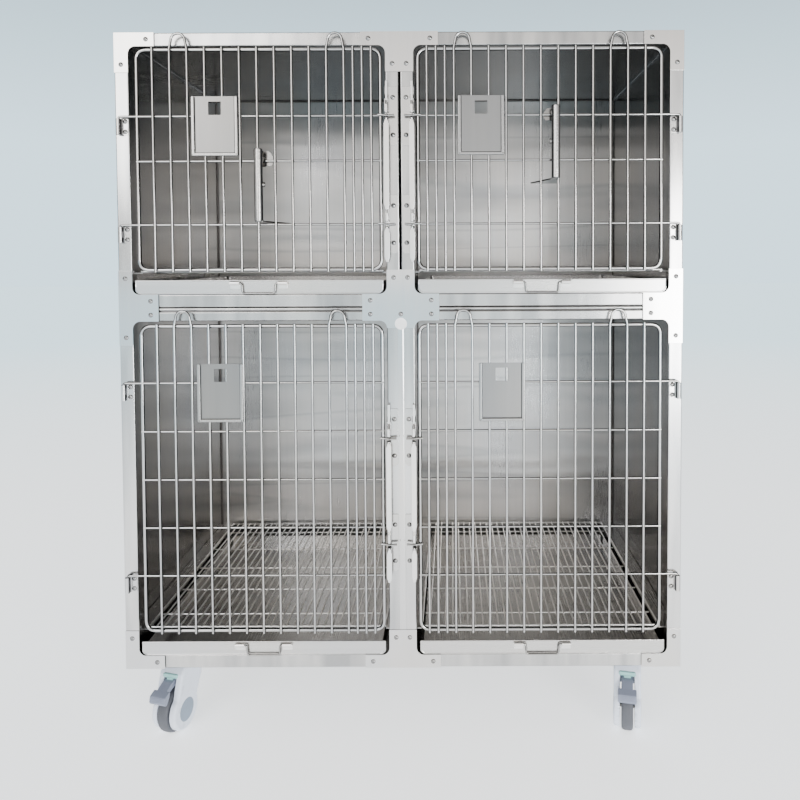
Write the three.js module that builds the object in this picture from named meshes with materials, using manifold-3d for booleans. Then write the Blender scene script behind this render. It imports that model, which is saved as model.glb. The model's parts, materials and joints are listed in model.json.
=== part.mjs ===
// Two-by-two bank of stainless steel kennel cages on casters, in millimetres, +Z up, front towards -Y.
// The face frame's front is at y = 0 until the last lines, which centre the whole bank on its origin.
import * as THREE from "three";
import { mergeVertices } from "three/addons/utils/BufferGeometryUtils.js";
import Module from "manifold-3d";

// ---- Driving dimensions ----
const WIDTH = 1220;
const DEPTH = 700;
const HEIGHT = 1550;
const BASE_Z = 165; // underside of the lower module, carried by the casters
const SPLIT_Z = 960; // where the upper module stands on the lower one
const SHEET = 1.5; // sheet metal thickness
const GAP = 0.3; // clearance between neighbouring pieces
const POST_W = 30; // face width of an outer post
const CENTRE_POST_W = 28; // face width of each half of the centre post
const SEAM = 2; // half of the seam between the two centre posts
const STRIP_HALF = 6.5; // half width of the strip that covers the lower seam
const RAIL_H = 29; // face height of a rail
const LIP = 25; // return lip of posts and rails
const FRONT_REACH = 34; // how far the door brackets stand in front of the face frame
const CENTRE_DROP = 16; // depth of the middle centre plate's lower tongue
const RIVET_SPREAD = 15; // half distance between the two rivets of a pair

const LEDGE_TOP = 47; // grille ledge above the tray floor
const LEDGE_REACH = 42; // how far a ledge stands off its wall
const GRILLE_T = 4.5;
const GRILLE_WIRES = 32;
const GRILLE_WIRE = 4;

const ROD = 4.5; // door wire, as a square bar of a 5 mm wire's section
const FRAME_ROD = 8; // rim wire of a door
const RIM_Y = -6.75; // wire layers, each welded to the front of the one before it
const CROSS_Y = -8.5;
const UPRIGHT_Y = -13;
const RIM_RADIUS = 22;
const DOOR_OUTER_X = 560; // rim centre lines, measured from the bank's centre plane
const DOOR_INNER_X = 40;
const UPRIGHT_START = 36; // first upright from the hinge-side rim
const UPRIGHT_PITCH = 37;
const WIDE_UPRIGHTS = 12;
const CLOSE_PITCH = 19.25; // the last uprights crowd towards the latch
const CLOSE_UPRIGHTS = 3;
const LOOP_RISE = 33; // loops that stand over the rail above the door
const LOOP_STARTS = [1, 10]; // first upright of each loop

const HINGE_X = 600;
const HINGE_DROP = 36; // how far a hinge pin reaches down
const PIN_R = 2.5;
const BARREL_BORE = 3.4;
const BARREL_R = 5.5;

const LATCH_X = 27; // centre of the latch bar
const LATCH_T = 5;
const LATCH_LIFT = 10; // the bar is drawn lifted by this much, clear of the door's pins
const LATCH_PIN_END = 10;

const TRAY_OUTER_X = 574;
const TRAY_INNER_X = 38;
const TRAY_BACK = 650;
const TRAY_FRONT_H = 31; // tray front above the floor sheet
const TRAY_WALL_H = 26;
const LUG_R = 5.2;
const LUG_BORE = 2.8;
const LUG_Y = -4.6;
const LUG_DROP = 7; // lug axis below the tray front's top edge
const BAIL_R = 2;
const BAIL_HALF = 40;
const BAIL_DROP = 22;

const CARD_W = 99;
const CARD_H = 126;
const CARD_WINDOW = 27;

const CASTER_X = 512;
const CASTER_Y = [80, 620];
const CASTER_TURN = [-16, -13, -15, -15]; // degrees at rest: front left, front right, rear left, rear right
const WHEEL_R = 50;
const WHEEL_FACETS = 20;
const TRAIL = 34;
const HOUSING_W = 61;
const HOUSING_TOP = 158;

// ---- What differs between the four cages ----
const lower = { floor: BASE_Z, top: SPLIT_Z, doorLow: 254, doorHigh: 921 };
const upper = { floor: SPLIT_Z, top: HEIGHT, doorLow: 1042.5, doorHigh: 1511 };
const lowerDoor = { crossZ: [376, 481.5, 587, 692.5, 798], hingeZ: [376, 798], pinZ: [444, 676] };
const upperDoor = { crossZ: [1139, 1274.5, 1370], hingeZ: [1139, 1370], pinZ: [1139, 1370] };
const CAGES = [
  { name: "upper_left", side: -1, ...upper, ...upperDoor, cardX: 391.5, cardZ: 1284.5,
    bracket: { x: 298, low: 1145, hookZ: 1274.5, rodX: 302 } },
  { name: "upper_right", side: 1, ...upper, ...upperDoor, cardX: 174.5, cardZ: 1284.5,
    bracket: { x: 332, low: 1234, hookZ: 1370, rodX: 339 } },
  { name: "lower_left", side: -1, ...lower, ...lowerDoor, cardX: 388, cardZ: 714.5 },
  { name: "lower_right", side: 1, ...lower, ...lowerDoor, cardX: 217.5, cardZ: 714.5 },
];

// ---- Solid helpers ----
const wasm = await Module();
wasm.setup();

// Turns a closed three.js geometry into a solid that can be joined and cut.
function solid(geometry) {
  const bare = geometry.index ? geometry.toNonIndexed() : geometry.clone();
  bare.deleteAttribute("normal");
  bare.deleteAttribute("uv");
  const merged = mergeVertices(bare, 1e-3);
  return new wasm.Manifold(new wasm.Mesh({
    numProp: 3,
    vertProperties: new Float32Array(merged.attributes.position.array),
    triVerts: new Uint32Array(merged.index.array),
  }));
}

function geometryOf(manifold) {
  const mesh = manifold.getMesh();
  const geometry = new THREE.BufferGeometry();
  geometry.setAttribute("position", new THREE.BufferAttribute(mesh.vertProperties, 3));
  geometry.setIndex(new THREE.BufferAttribute(mesh.triVerts, 1));
  const flat = geometry.toNonIndexed();
  flat.computeVertexNormals();
  return flat;
}

// Joins geometries into one body.
function join(...pieces) {
  const whole = pieces.map(solid).reduce((sum, piece) => sum.add(piece));
  return geometryOf(whole);
}

// Cuts every tool out of a body.
function cut(body, ...tools) {
  const left = tools.map(solid).reduce((rest, tool) => rest.subtract(tool), solid(body));
  return geometryOf(left);
}

function box(x0, x1, y0, y1, z0, z1) {
  const geometry = new THREE.BoxGeometry(x1 - x0, y1 - y0, z1 - z0);
  return geometry.translate((x0 + x1) / 2, (y0 + y1) / 2, (z0 + z1) / 2);
}

function cylinderX(radius, x0, x1, y, z, sides) {
  const geometry = new THREE.CylinderGeometry(radius, radius, x1 - x0, sides);
  return geometry.rotateY(Math.PI / sides).rotateZ(-Math.PI / 2).translate((x0 + x1) / 2, y, z);
}

function cylinderZ(radius, x, y, z0, z1, sides) {
  const geometry = new THREE.CylinderGeometry(radius, radius, z1 - z0, sides);
  return geometry.rotateX(Math.PI / 2).translate(x, y, (z0 + z1) / 2);
}

function arc(cx, cz, radius, from, to, steps) {
  return Array.from({ length: steps + 1 }, (_, i) => {
    const angle = THREE.MathUtils.degToRad(from + ((to - from) * i) / steps);
    return [cx + radius * Math.cos(angle), cz + radius * Math.sin(angle)];
  });
}

function roundedRectangle(x0, x1, z0, z1, radius, steps) {
  return [
    ...arc(x0 + radius, z0 + radius, radius, 180, 270, steps),
    ...arc(x1 - radius, z0 + radius, radius, 270, 360, steps),
    ...arc(x1 - radius, z1 - radius, radius, 0, 90, steps),
    ...arc(x0 + radius, z1 - radius, radius, 90, 180, steps),
  ];
}

// Drops points that repeat the one before them.
function withoutRepeats(points) {
  return points.filter(([x, z], i) => {
    const [px, pz] = points[(i + points.length - 1) % points.length];
    return Math.hypot(x - px, z - pz) > 1e-6;
  });
}

function shapeOf(points, holes = []) {
  const shape = new THREE.Shape(withoutRepeats(points).map(([x, z]) => new THREE.Vector2(x, z)));
  shape.holes = holes.map((hole) => new THREE.Path(hole.map(([x, z]) => new THREE.Vector2(x, z))));
  return shape;
}

// A plate drawn in the front view (x, z), from y = front back by its thickness.
function frontPlate(points, front, thickness, holes = []) {
  const settings = { depth: thickness, bevelEnabled: false };
  const geometry = new THREE.ExtrudeGeometry(shapeOf(points, holes), settings);
  return geometry.rotateX(Math.PI / 2).translate(0, front + thickness, 0);
}

// A profile drawn in the side view (y, z), run along X.
function alongX(points, x0, x1) {
  const geometry = new THREE.ExtrudeGeometry(shapeOf(points), { depth: x1 - x0, bevelEnabled: false });
  const turn = new THREE.Matrix4().makeBasis(
    new THREE.Vector3(0, 1, 0), new THREE.Vector3(0, 0, 1), new THREE.Vector3(1, 0, 0));
  return geometry.applyMatrix4(turn).translate(x0, 0, 0);
}

// A plan outline (x, y) raised along Z.
function alongZ(points, z0, z1) {
  const geometry = new THREE.ExtrudeGeometry(shapeOf(points), { depth: z1 - z0, bevelEnabled: false });
  return geometry.translate(0, 0, z0);
}

// A bent wire through a list of points.
function wire(points, radius, sides, steps) {
  const curve = new THREE.CatmullRomCurve3(points.map((p) => new THREE.Vector3(...p)), false, "centripetal");
  const section = shapeOf(arc(0, 0, radius, 0, 360, sides).slice(0, -1));
  return new THREE.ExtrudeGeometry(section, { steps, extrudePath: curve, bevelEnabled: false });
}

// The low head of a rivet that stands on a face at y = face.
function rivet(x, z, face) {
  const head = new THREE.CylinderGeometry(2.2, 4.2, 2.4, 6);
  return head.rotateX(Math.PI).translate(x, face - 1, z);
}

// ---- Materials ----
const steel = (colour, roughness) =>
  new THREE.MeshStandardMaterial({ color: colour, roughness, metalness: 1 });
const plastic = (colour, roughness) =>
  new THREE.MeshStandardMaterial({ color: colour, roughness, metalness: 0 });
const polishedSteel = () => steel(0xd3d0c9, 0.18);
const brushedSteel = () => steel(0xb9b5ad, 0.38);
const wireSteel = () => steel(0xdcdad6, 0.25);
const cardSteel = () => steel(0xa8a39b, 0.45);
const whitePlastic = () => plastic(0xe9eaee, 0.35);
const greyRubber = () => plastic(0x6c6f78, 0.6);
const greyPlastic = () => plastic(0x8b93a3, 0.5);

const bank = new THREE.Group();

function addMesh(parent, name, geometry, material) {
  const mesh = new THREE.Mesh(geometry, material);
  mesh.name = name;
  parent.add(mesh);
  return mesh;
}

// ---- Sheet metal shared by a whole module ----
const innerWidth = WIDTH / 2 - SHEET - GAP;
const railFront = SHEET + GAP;
const backFace = DEPTH - SHEET - GAP;

// A front rail folded from the edge of a roof or floor sheet: sheet, face and return lip.
function railSheet(low, high, sheetLow, lipLow, back) {
  const at = (y0, y1, z0, z1) => box(-innerWidth, innerWidth, y0, y1, z0, z1);
  return [
    at(railFront, back, sheetLow, sheetLow + SHEET),
    at(railFront, railFront + SHEET, low, high),
    at(railFront, railFront + LIP, lipLow, lipLow + SHEET),
  ];
}

// Two cross channels under the lower floor carry the casters' plates and kingpins.
function casterCarrier() {
  const pieces = [];
  for (const y of CASTER_Y) {
    const channel = cut(
      box(-600, 600, y - 35, y + 35, BASE_Z, BASE_Z + RAIL_H - 1),
      box(-610, 610, y - 35 + SHEET, y + 35 - SHEET, BASE_Z + SHEET, BASE_Z + RAIL_H - 1 - SHEET));
    pieces.push(channel);
    for (const x of [-CASTER_X, CASTER_X]) {
      pieces.push(box(x - 35, x + 35, y - 34, y + 34, BASE_Z - 4, BASE_Z + 0.5));
      pieces.push(cylinderZ(8, x, y, HOUSING_TOP - 32, BASE_Z - 1, 8));
    }
  }
  return pieces;
}

function addModuleSheets() {
  const roofLow = HEIGHT - RAIL_H;
  const upperFloor = SPLIT_Z + RAIL_H;
  const lowerTop = SPLIT_Z - GAP;
  const lowerRoofLow = SPLIT_Z - RAIL_H;
  const lowerFloor = BASE_Z + RAIL_H;
  addMesh(bank, "upper_roof_panel",
    join(...railSheet(roofLow, HEIGHT, HEIGHT - SHEET, roofLow, DEPTH)), brushedSteel());
  addMesh(bank, "upper_floor_panel",
    join(...railSheet(SPLIT_Z + GAP, upperFloor, upperFloor - SHEET, SPLIT_Z + GAP, backFace)),
    brushedSteel());
  addMesh(bank, "lower_roof_panel",
    join(...railSheet(lowerRoofLow, lowerTop, lowerTop - SHEET, lowerRoofLow, backFace)), brushedSteel());
  addMesh(bank, "lower_base_panel",
    join(...railSheet(BASE_Z, lowerFloor, lowerFloor - SHEET, BASE_Z, backFace),
      box(-innerWidth, innerWidth, backFace - SHEET, backFace, BASE_Z, lowerFloor),
      ...casterCarrier()), brushedSteel());
  addMesh(bank, "upper_back_panel",
    box(-innerWidth, innerWidth, DEPTH - SHEET, DEPTH, SPLIT_Z + GAP, HEIGHT - SHEET - GAP), brushedSteel());
  addMesh(bank, "lower_back_panel",
    box(-innerWidth, innerWidth, DEPTH - SHEET, DEPTH, BASE_Z, lowerTop), brushedSteel());
  const stripTop = SPLIT_Z - RAIL_H - CENTRE_DROP - GAP;
  addMesh(bank, "lower_centre_strip",
    box(-STRIP_HALF, STRIP_HALF, -SHEET, -GAP, BASE_Z + 86, stripTop), polishedSteel());
}

// ---- Junction plates riveted over the joints of posts and rails ----
// The core rectangle covers the joint, and each arm runs on from it by its own length.
function junctionOutline({ x0, x1, z0, z1 }, { left = 0, right = 0, up = 0, down = 0 }) {
  const r = 15;
  const lowR = Math.min(r, down / 4);
  const steps = 3;
  const fillet = (joined, corner, points) => (joined ? points : [corner]);
  return [
    [x0 - left, z0],
    ...fillet(left && down, [x0, z0], arc(x0 - lowR, z0 - lowR, lowR, 90, 0, steps)),
    [x0, z0 - down],
    [x1, z0 - down],
    ...fillet(down && right, [x1, z0], arc(x1 + lowR, z0 - lowR, lowR, 180, 90, steps)),
    [x1 + right, z0],
    [x1 + right, z1],
    ...fillet(right && up, [x1, z1], arc(x1 + r, z1 + r, r, 270, 180, steps)),
    [x1, z1 + up],
    [x0, z1 + up],
    ...fillet(up && left, [x0, z1], arc(x0 - r, z1 + r, r, 0, -90, steps)),
    [x0 - left, z1],
  ];
}

// rows and columns are the rivets' places across the sideways and the upright arms.
function addJunctionPlate(name, core, arms, rows, columns) {
  const inset = 17;
  const heads = [];
  if (arms.left) heads.push(...rows.map((z) => [core.x0 - arms.left + inset, z]));
  if (arms.right) heads.push(...rows.map((z) => [core.x1 + arms.right - inset, z]));
  if (arms.up) heads.push(...columns.map((x) => [x, core.z1 + arms.up - inset]));
  if (arms.down > inset) heads.push(...columns.map((x) => [x, core.z0 - arms.down + inset]));
  const face = -GAP - 1.2;
  const plate = frontPlate(junctionOutline(core, arms), face, 1.2);
  addMesh(bank, name, join(plate, ...heads.map(([x, z]) => rivet(x, z, face))), polishedSteel());
}

function addJunctionPlates() {
  const half = WIDTH / 2;
  const post = { left: [-half, -half + POST_W], centre: [-POST_W, POST_W], right: [half - POST_W, half] };
  const rails = {
    top: { z0: HEIGHT - RAIL_H, z1: HEIGHT },
    middle: { z0: SPLIT_Z - RAIL_H, z1: SPLIT_Z + RAIL_H },
    bottom: { z0: BASE_Z, z1: BASE_Z + RAIL_H },
  };
  const reach = { top: { down: 56 }, middle: { up: 52, down: 52 }, bottom: { up: 56 } };
  const sideways = { left: { right: 56 }, centre: { left: 53, right: 53 }, right: { left: 56 } };
  for (const [level, { z0, z1 }] of Object.entries(rails)) {
    const midZ = (z0 + z1) / 2;
    const rows = level === "middle" ? [midZ - RIVET_SPREAD, midZ + RIVET_SPREAD] : [midZ];
    for (const [column, [x0, x1]] of Object.entries(post)) {
      const arms = { ...reach[level], ...sideways[column] };
      if (level === "middle" && column === "centre") arms.down = CENTRE_DROP;
      const columns = column === "centre" ? [-RIVET_SPREAD, RIVET_SPREAD] : [(x0 + x1) / 2];
      addJunctionPlate(`${level}_${column}_junction_plate`, { x0, x1, z0, z1 }, arms, rows, columns);
    }
  }
}

// ---- One cage, drawn on the left side of the bank; a right cage is its mirror image ----
function outerWall(cage) {
  const outer = -WIDTH / 2;
  const low = cage.floor + RAIL_H + GAP;
  const high = cage.top - RAIL_H - GAP;
  const ledge = cage.floor + RAIL_H + LEDGE_TOP;
  const foot = cage.floor === BASE_Z ? cage.floor : cage.floor + GAP;
  const head = cage.top === HEIGHT ? cage.top : cage.top - GAP;
  const pieces = [
    box(outer, outer + SHEET, 0, DEPTH, foot, head),
    box(outer, outer + POST_W, 0, SHEET, foot, head),
    box(outer + POST_W - SHEET, outer + POST_W, 0, LIP, low, high),
    box(outer, outer + LEDGE_REACH, LIP, backFace, ledge - SHEET, ledge),
  ];
  for (const z of cage.hingeZ) {
    pieces.push(
      box(-HINGE_X - 4, -HINGE_X + 18, -SHEET, 0.2, z - HINGE_DROP - 2, z - 3.5),
      box(-HINGE_X - 4, -HINGE_X + 4, CROSS_Y + 4, 0, z - HINGE_DROP - 2, z - 3.5),
      cylinderZ(BARREL_R, -HINGE_X, CROSS_Y, z - HINGE_DROP - 2, z - 3.5, 10));
  }
  const bores = cage.hingeZ.map((z) => cylinderZ(BARREL_BORE, -HINGE_X, CROSS_Y, z - 60, z, 10));
  return cut(join(...pieces), ...bores);
}

// A folded guide on the centre post: two notched wings that hold the latch bar and take a door pin.
function latchGuide(pinZ) {
  const half = 63;
  const notch = 7;
  const wing = [
    [0, pinZ - half + 20], [-14, pinZ - half + 26], [-14, pinZ - notch], [-7, pinZ - notch],
    [-7, pinZ + notch], [-14, pinZ + notch], [-14, pinZ + half - 26], [0, pinZ + half - 20],
  ];
  const inner = -LATCH_X + LATCH_T / 2 + GAP;
  const outer = -LATCH_X - LATCH_T / 2 - GAP;
  return [
    box(outer - 1.2, -STRIP_HALF - 1, -SHEET, 0.2, pinZ - half, pinZ + half),
    alongX(wing, inner, inner + 1.2),
    alongX(wing, outer - 1.2, outer),
  ];
}

function innerWall(cage) {
  const low = cage.floor + RAIL_H + GAP;
  const high = cage.top - RAIL_H - GAP;
  const under = cage.top - SHEET - GAP - (cage.top === HEIGHT ? 0 : GAP);
  const ledge = cage.floor + RAIL_H + LEDGE_TOP;
  const foot = cage.floor === BASE_Z ? cage.floor : cage.floor + GAP;
  const head = cage.top === HEIGHT ? cage.top : cage.top - GAP;
  const postEdge = -SEAM - CENTRE_POST_W;
  return join(
    box(postEdge, -SEAM, 0, SHEET, foot, head),
    box(-SEAM - SHEET, -SEAM, 0, LIP + 10, low, high),
    box(-SEAM - SHEET, -SEAM, railFront + LIP + GAP, backFace, low, under),
    box(postEdge, postEdge + SHEET, 0, LIP, low, high),
    box(-LEDGE_REACH + 2, -SEAM, LIP, backFace, ledge - SHEET, ledge),
    ...cage.pinZ.flatMap(latchGuide));
}

function uprightOffsets() {
  const wide = Array.from({ length: WIDE_UPRIGHTS }, (_, i) => UPRIGHT_START + i * UPRIGHT_PITCH);
  const last = wide[wide.length - 1];
  const close = Array.from({ length: CLOSE_UPRIGHTS }, (_, i) => last + (i + 1) * CLOSE_PITCH);
  return [...wide, ...close];
}

// The rim: one bent wire of octagonal section.
function doorRim(cage) {
  const half = FRAME_ROD / 2;
  const chamfer = 2.25;
  const ring = (grow) => roundedRectangle(-DOOR_OUTER_X - grow, -DOOR_INNER_X + grow,
    cage.doorLow - grow, cage.doorHigh + grow, RIM_RADIUS + grow, 2);
  const geometry = new THREE.ExtrudeGeometry(shapeOf(ring(half), [ring(-half)]), {
    depth: FRAME_ROD - 2 * chamfer, bevelEnabled: true, bevelSegments: 1,
    bevelThickness: chamfer, bevelSize: chamfer, bevelOffset: -chamfer,
  });
  return geometry.rotateX(Math.PI / 2).translate(0, RIM_Y + half - chamfer, 0);
}

// A loop that joins two uprights above the rim.
function doorLoop(x0, x1, rimZ) {
  const lean = 4;
  const top = rimZ + LOOP_RISE;
  return wire([
    [x0, UPRIGHT_Y, rimZ], [x0 + 1, UPRIGHT_Y, rimZ + 8], [x0 + lean, UPRIGHT_Y, top - 12],
    [x0 + lean + 5, UPRIGHT_Y, top - 2],
    [(x0 + x1) / 2, UPRIGHT_Y, top],
    [x1 - lean - 5, UPRIGHT_Y, top - 2],
    [x1 - lean, UPRIGHT_Y, top - 12], [x1 - 1, UPRIGHT_Y, rimZ + 8], [x1, UPRIGHT_Y, rimZ],
  ], 2.4, 4, 8);
}

function door(cage) {
  const half = ROD / 2;
  const uprights = uprightOffsets().map((offset) => -DOOR_OUTER_X + offset);
  const pieces = [doorRim(cage)];
  for (const x of uprights) {
    pieces.push(box(x - half, x + half, UPRIGHT_Y - half, UPRIGHT_Y + half,
      cage.doorLow - 5, cage.doorHigh + 5));
  }
  for (const z of cage.crossZ) {
    const start = cage.hingeZ.includes(z) ? -HINGE_X - half : -DOOR_OUTER_X - 4;
    pieces.push(box(start, -DOOR_INNER_X + 4, CROSS_Y - half, CROSS_Y + half, z - half, z + half));
  }
  for (const z of cage.hingeZ) {
    pieces.push(cylinderZ(PIN_R, -HINGE_X, CROSS_Y, z - HINGE_DROP, z, 6));
  }
  for (const z of cage.pinZ) {
    pieces.push(box(-DOOR_INNER_X - 6, -LATCH_PIN_END, UPRIGHT_Y - 2, UPRIGHT_Y + half, z - 2.5, z + 2.5));
  }
  for (const start of LOOP_STARTS) {
    pieces.push(doorLoop(uprights[start], uprights[start + 1], cage.doorHigh));
  }
  return join(...pieces);
}

// A card holder: a back plate with a thumb window, and three folded edges that grip the card.
function cardHolder() {
  const half = CARD_W / 2;
  const window = CARD_WINDOW / 2;
  const back = -UPRIGHT_Y + ROD / 2 + GAP;
  const windowTop = CARD_H - 11;
  const plate = frontPlate(
    [[-half, 0], [half, 0], [half, CARD_H], [-half, CARD_H]], -back - 1, 1,
    [[[-window, windowTop - 28], [window, windowTop - 28], [window, windowTop], [-window, windowTop]]]);
  const front = -back - 5;
  return join(plate,
    box(-half, -half + 1, front, -back, 0, CARD_H),
    box(half - 1, half, front, -back, 0, CARD_H),
    box(-half, half, front, -back, 0, 1),
    box(-half, -half + 7, front, front + 1, 0, CARD_H),
    box(half - 7, half, front, front + 1, 0, CARD_H),
    box(-half, half, front, front + 1, 0, 7));
}

// A round upright that hooks over a cross wire, with a foot plate that passes between the wires.
function accessoryBracket({ x, low, hookZ, rodX }) {
  const tubeY = -FRONT_REACH + 9;
  const high = low + 154;
  const clear = -rodX + ROD / 2 + 1;
  const right = Math.max(clear + 11, -x + 9);
  const foot = alongZ([
    [-x - 8, tubeY - 4], [right, tubeY - 4], [right, -4], [-x + 44, 86], [-x - 18, 86], [clear - 6, 6],
    [clear, -2], [clear, tubeY + 8], [-x - 8, tubeY + 8],
  ], low - 1, low + 1);
  return join(
    cylinderZ(9, -x, tubeY, low, high, 12),
    foot,
    box(clear, right, tubeY, -2, hookZ + 4.5, hookZ + 7),
    box(clear, right, -4, -2, hookZ - 12, hookZ + 7),
    box(-x - 9, right, tubeY + 4, tubeY + 7, hookZ - 2, hookZ + 7),
    cylinderX(3, -x, -x + 14, tubeY, low + 78, 6));
}

// The latch bar: a flat bar with two hooked noses that drop in front of the door's pins.
function latchBar(cage) {
  const [lowPin, highPin] = cage.pinZ;
  const back = -2;
  const spine = -8.5;
  const front = -21;
  const lip = -16;
  const hook = (pin) => [
    [front, pin + 22], [front, pin + 4.8], [lip, pin + 4.8], [lip, pin + 16],
    [spine, pin + 16], [spine, pin - 5.5], [front + 2, pin - 5.5], [front, pin - 8],
  ];
  const top = highPin + 64 + LATCH_LIFT;
  const bottom = lowPin - 92 + LATCH_LIFT;
  return alongX([
    [back, bottom], [back, top], [-12, top], [-12, highPin + 34],
    ...hook(highPin), ...hook(lowPin), [front, bottom + 6], [front + 4, bottom],
  ], -LATCH_X - LATCH_T / 2, -LATCH_X + LATCH_T / 2);
}

const trayMiddle = -(TRAY_OUTER_X + TRAY_INNER_X) / 2;

function tray(cage) {
  const floor = cage.floor + RAIL_H + 0.5;
  const top = floor + TRAY_FRONT_H;
  const x0 = -TRAY_OUTER_X;
  const x1 = -TRAY_INNER_X;
  const pan = cut(
    box(x0 + 8, x1 - 8, 1, TRAY_BACK, floor, floor + TRAY_WALL_H),
    box(x0 + 9.2, x1 - 9.2, 2.2, TRAY_BACK - 1.2, floor + 1.2, floor + 60));
  const face = frontPlate([
    ...arc(x0 + 13, floor + 14, 13, 180, 270, 3), ...arc(x1 - 13, floor + 14, 13, 270, 360, 3),
    [x1, top], [x0, top],
  ], GAP, 1.2);
  const lugs = [-1, 1].flatMap((side) => {
    const inner = trayMiddle + side * (BAIL_HALF + 2);
    const outer = trayMiddle + side * (BAIL_HALF + 22);
    const [a, b] = [Math.min(inner, outer), Math.max(inner, outer)];
    return [
      cylinderX(LUG_R, a, b, LUG_Y, top - LUG_DROP, 8),
      box(a, b, LUG_Y + 1, 1, top - LUG_DROP + LUG_BORE + 0.2, top - LUG_DROP + LUG_R - 0.4),
    ];
  });
  const bore = cylinderX(LUG_BORE, trayMiddle - 80, trayMiddle + 80, LUG_Y, top - LUG_DROP, 8);
  return cut(join(pan, face, ...lugs), bore);
}

function trayBail(cage) {
  const axis = cage.floor + RAIL_H + 0.5 + TRAY_FRONT_H - LUG_DROP;
  const low = axis - BAIL_DROP;
  const at = (x, z) => [trayMiddle + x, LUG_Y, z];
  const half = BAIL_HALF;
  return wire([
    at(-half - 17, axis), at(-half - 1, axis), at(-half + 3, axis - 2), at(-half + 4, axis - 7),
    at(-half + 5, low + 5), at(-half + 10, low), at(half - 10, low), at(half - 5, low + 5),
    at(half - 4, axis - 7), at(half - 3, axis - 2), at(half + 1, axis), at(half + 17, axis),
  ], BAIL_R, 6, 22);
}

// The floor grille: wires from front to back, tied by a bar at each end.
function floorGrille(cage) {
  const low = cage.floor + RAIL_H + LEDGE_TOP + GAP;
  const x0 = -TRAY_OUTER_X + 1;
  const x1 = -TRAY_INNER_X - 1;
  const front = LIP + 3;
  const back = backFace - 9;
  const bar = 5;
  const pitch = (x1 - x0 - GRILLE_WIRE) / (GRILLE_WIRES - 1);
  const slots = Array.from({ length: GRILLE_WIRES - 1 }, (_, i) => {
    const a = x0 + GRILLE_WIRE + i * pitch;
    return box(a, a + pitch - GRILLE_WIRE, front + bar, back - bar, low - 1, low + GRILLE_T + 1);
  });
  return cut(box(x0, x1, front, back, low, low + GRILLE_T), ...slots);
}

function addCage(cage) {
  const group = new THREE.Group();
  group.scale.x = -cage.side;
  bank.add(group);
  addMesh(group, `${cage.name}_outer_wall`, outerWall(cage), polishedSteel());
  addMesh(group, `${cage.name}_inner_wall`, innerWall(cage), polishedSteel());
  addMesh(group, `${cage.name}_door`, door(cage), wireSteel());
  addMesh(group, `${cage.name}_latch_bar`, latchBar(cage), wireSteel());
  addMesh(group, `${cage.name}_tray`, tray(cage), brushedSteel());
  addMesh(group, `${cage.name}_tray_bail`, trayBail(cage), wireSteel());
  addMesh(group, `${cage.name}_floor_grille`, floorGrille(cage), wireSteel());
  const holder = addMesh(group, `${cage.name}_card_holder`, cardHolder(), cardSteel());
  holder.position.set(-cage.cardX, 0, cage.cardZ);
  if (cage.bracket) {
    addMesh(group, `${cage.name}_door_bracket`, accessoryBracket(cage.bracket), brushedSteel());
  }
}

// ---- Casters: each is drawn round its kingpin, with the wheel trailing towards -Y ----
function housingSides() {
  const outline = [
    ...arc(TRAIL, WHEEL_R, 44, 160, 410, 10),
    [52, 122], [28, HOUSING_TOP], [-26, HOUSING_TOP], [-28, 120],
  ];
  return outline.map(([reach, z]) => [-reach, z]);
}

function casterHousing(braked) {
  const half = HOUSING_W / 2;
  const hollow = cut(
    alongX(housingSides(), -half, half),
    cylinderX(53, -16.5, 16.5, -TRAIL, WHEEL_R, 20),
    cylinderZ(9, 0, 0, HOUSING_TOP - 36, HOUSING_TOP + 5, 8),
    ...(braked ? [box(-16, 16, -100, -34, 98, 132)] : []));
  const axle = cylinderX(5, -half, half, -TRAIL, WHEEL_R, 8);
  const pedalPin = braked ? [cylinderX(2.2, -20, 20, -44, 118, 6)] : [];
  return join(hollow, axle, ...pedalPin);
}

function casterWheel() {
  const r = WHEEL_R / Math.cos(Math.PI / WHEEL_FACETS);
  const profile = [[6.5, -13], [r - 3, -13], [r, -8], [r, 8], [r - 3, 13], [6.5, 13], [6.5, -13]];
  const geometry = new THREE.LatheGeometry(profile.map(([x, y]) => new THREE.Vector2(x, y)), WHEEL_FACETS,
    Math.PI / WHEEL_FACETS);
  return geometry.rotateZ(Math.PI / 2);
}

function brakePedal() {
  const lever = alongX([
    [-38, 116], [-38, 121], [-44, 124.5], [-60, 122], [-82, 112], [-97, 106], [-98, 92], [-90, 88],
    [-84, 98], [-62, 108], [-44, 111.5],
  ], -13, 13);
  const foot = alongX([[-82, 112], [-97, 106], [-98, 92], [-90, 88], [-84, 98]], -20, 20);
  return cut(join(lever, foot), cylinderX(2.9, -14, 14, -44, 118, 8));
}

function addCasters() {
  const names = ["front_left", "front_right", "rear_left", "rear_right"];
  names.forEach((name, i) => {
    const front = i < 2;
    const group = new THREE.Group();
    group.position.set(i % 2 ? CASTER_X : -CASTER_X, CASTER_Y[front ? 0 : 1], 0);
    group.rotation.z = THREE.MathUtils.degToRad(CASTER_TURN[i]);
    bank.add(group);
    addMesh(group, `${name}_caster_housing`, casterHousing(front), whitePlastic());
    const wheel = addMesh(group, `${name}_caster_wheel`, casterWheel(), greyRubber());
    wheel.position.set(0, -TRAIL, WHEEL_R);
    if (front) addMesh(group, `${name}_brake_pedal`, brakePedal(), greyPlastic());
  });
}

addModuleSheets();
addJunctionPlates();
CAGES.forEach(addCage);
addCasters();

// The origin stands on the floor, centred under the bank and its door hardware.
bank.position.y = -(DEPTH - FRONT_REACH) / 2;

export default bank;
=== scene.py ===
"""Looks of the kennel cage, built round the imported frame.

Shapes are drawn in millimetres: x and z as in the frame, and y counted from the front of the face frame.
A cage is drawn on the left side of the bank, and a right cage is its mirror image.
"""
import json
import math

import bmesh
import bpy
from mathutils import Matrix, Vector, geometry


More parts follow.
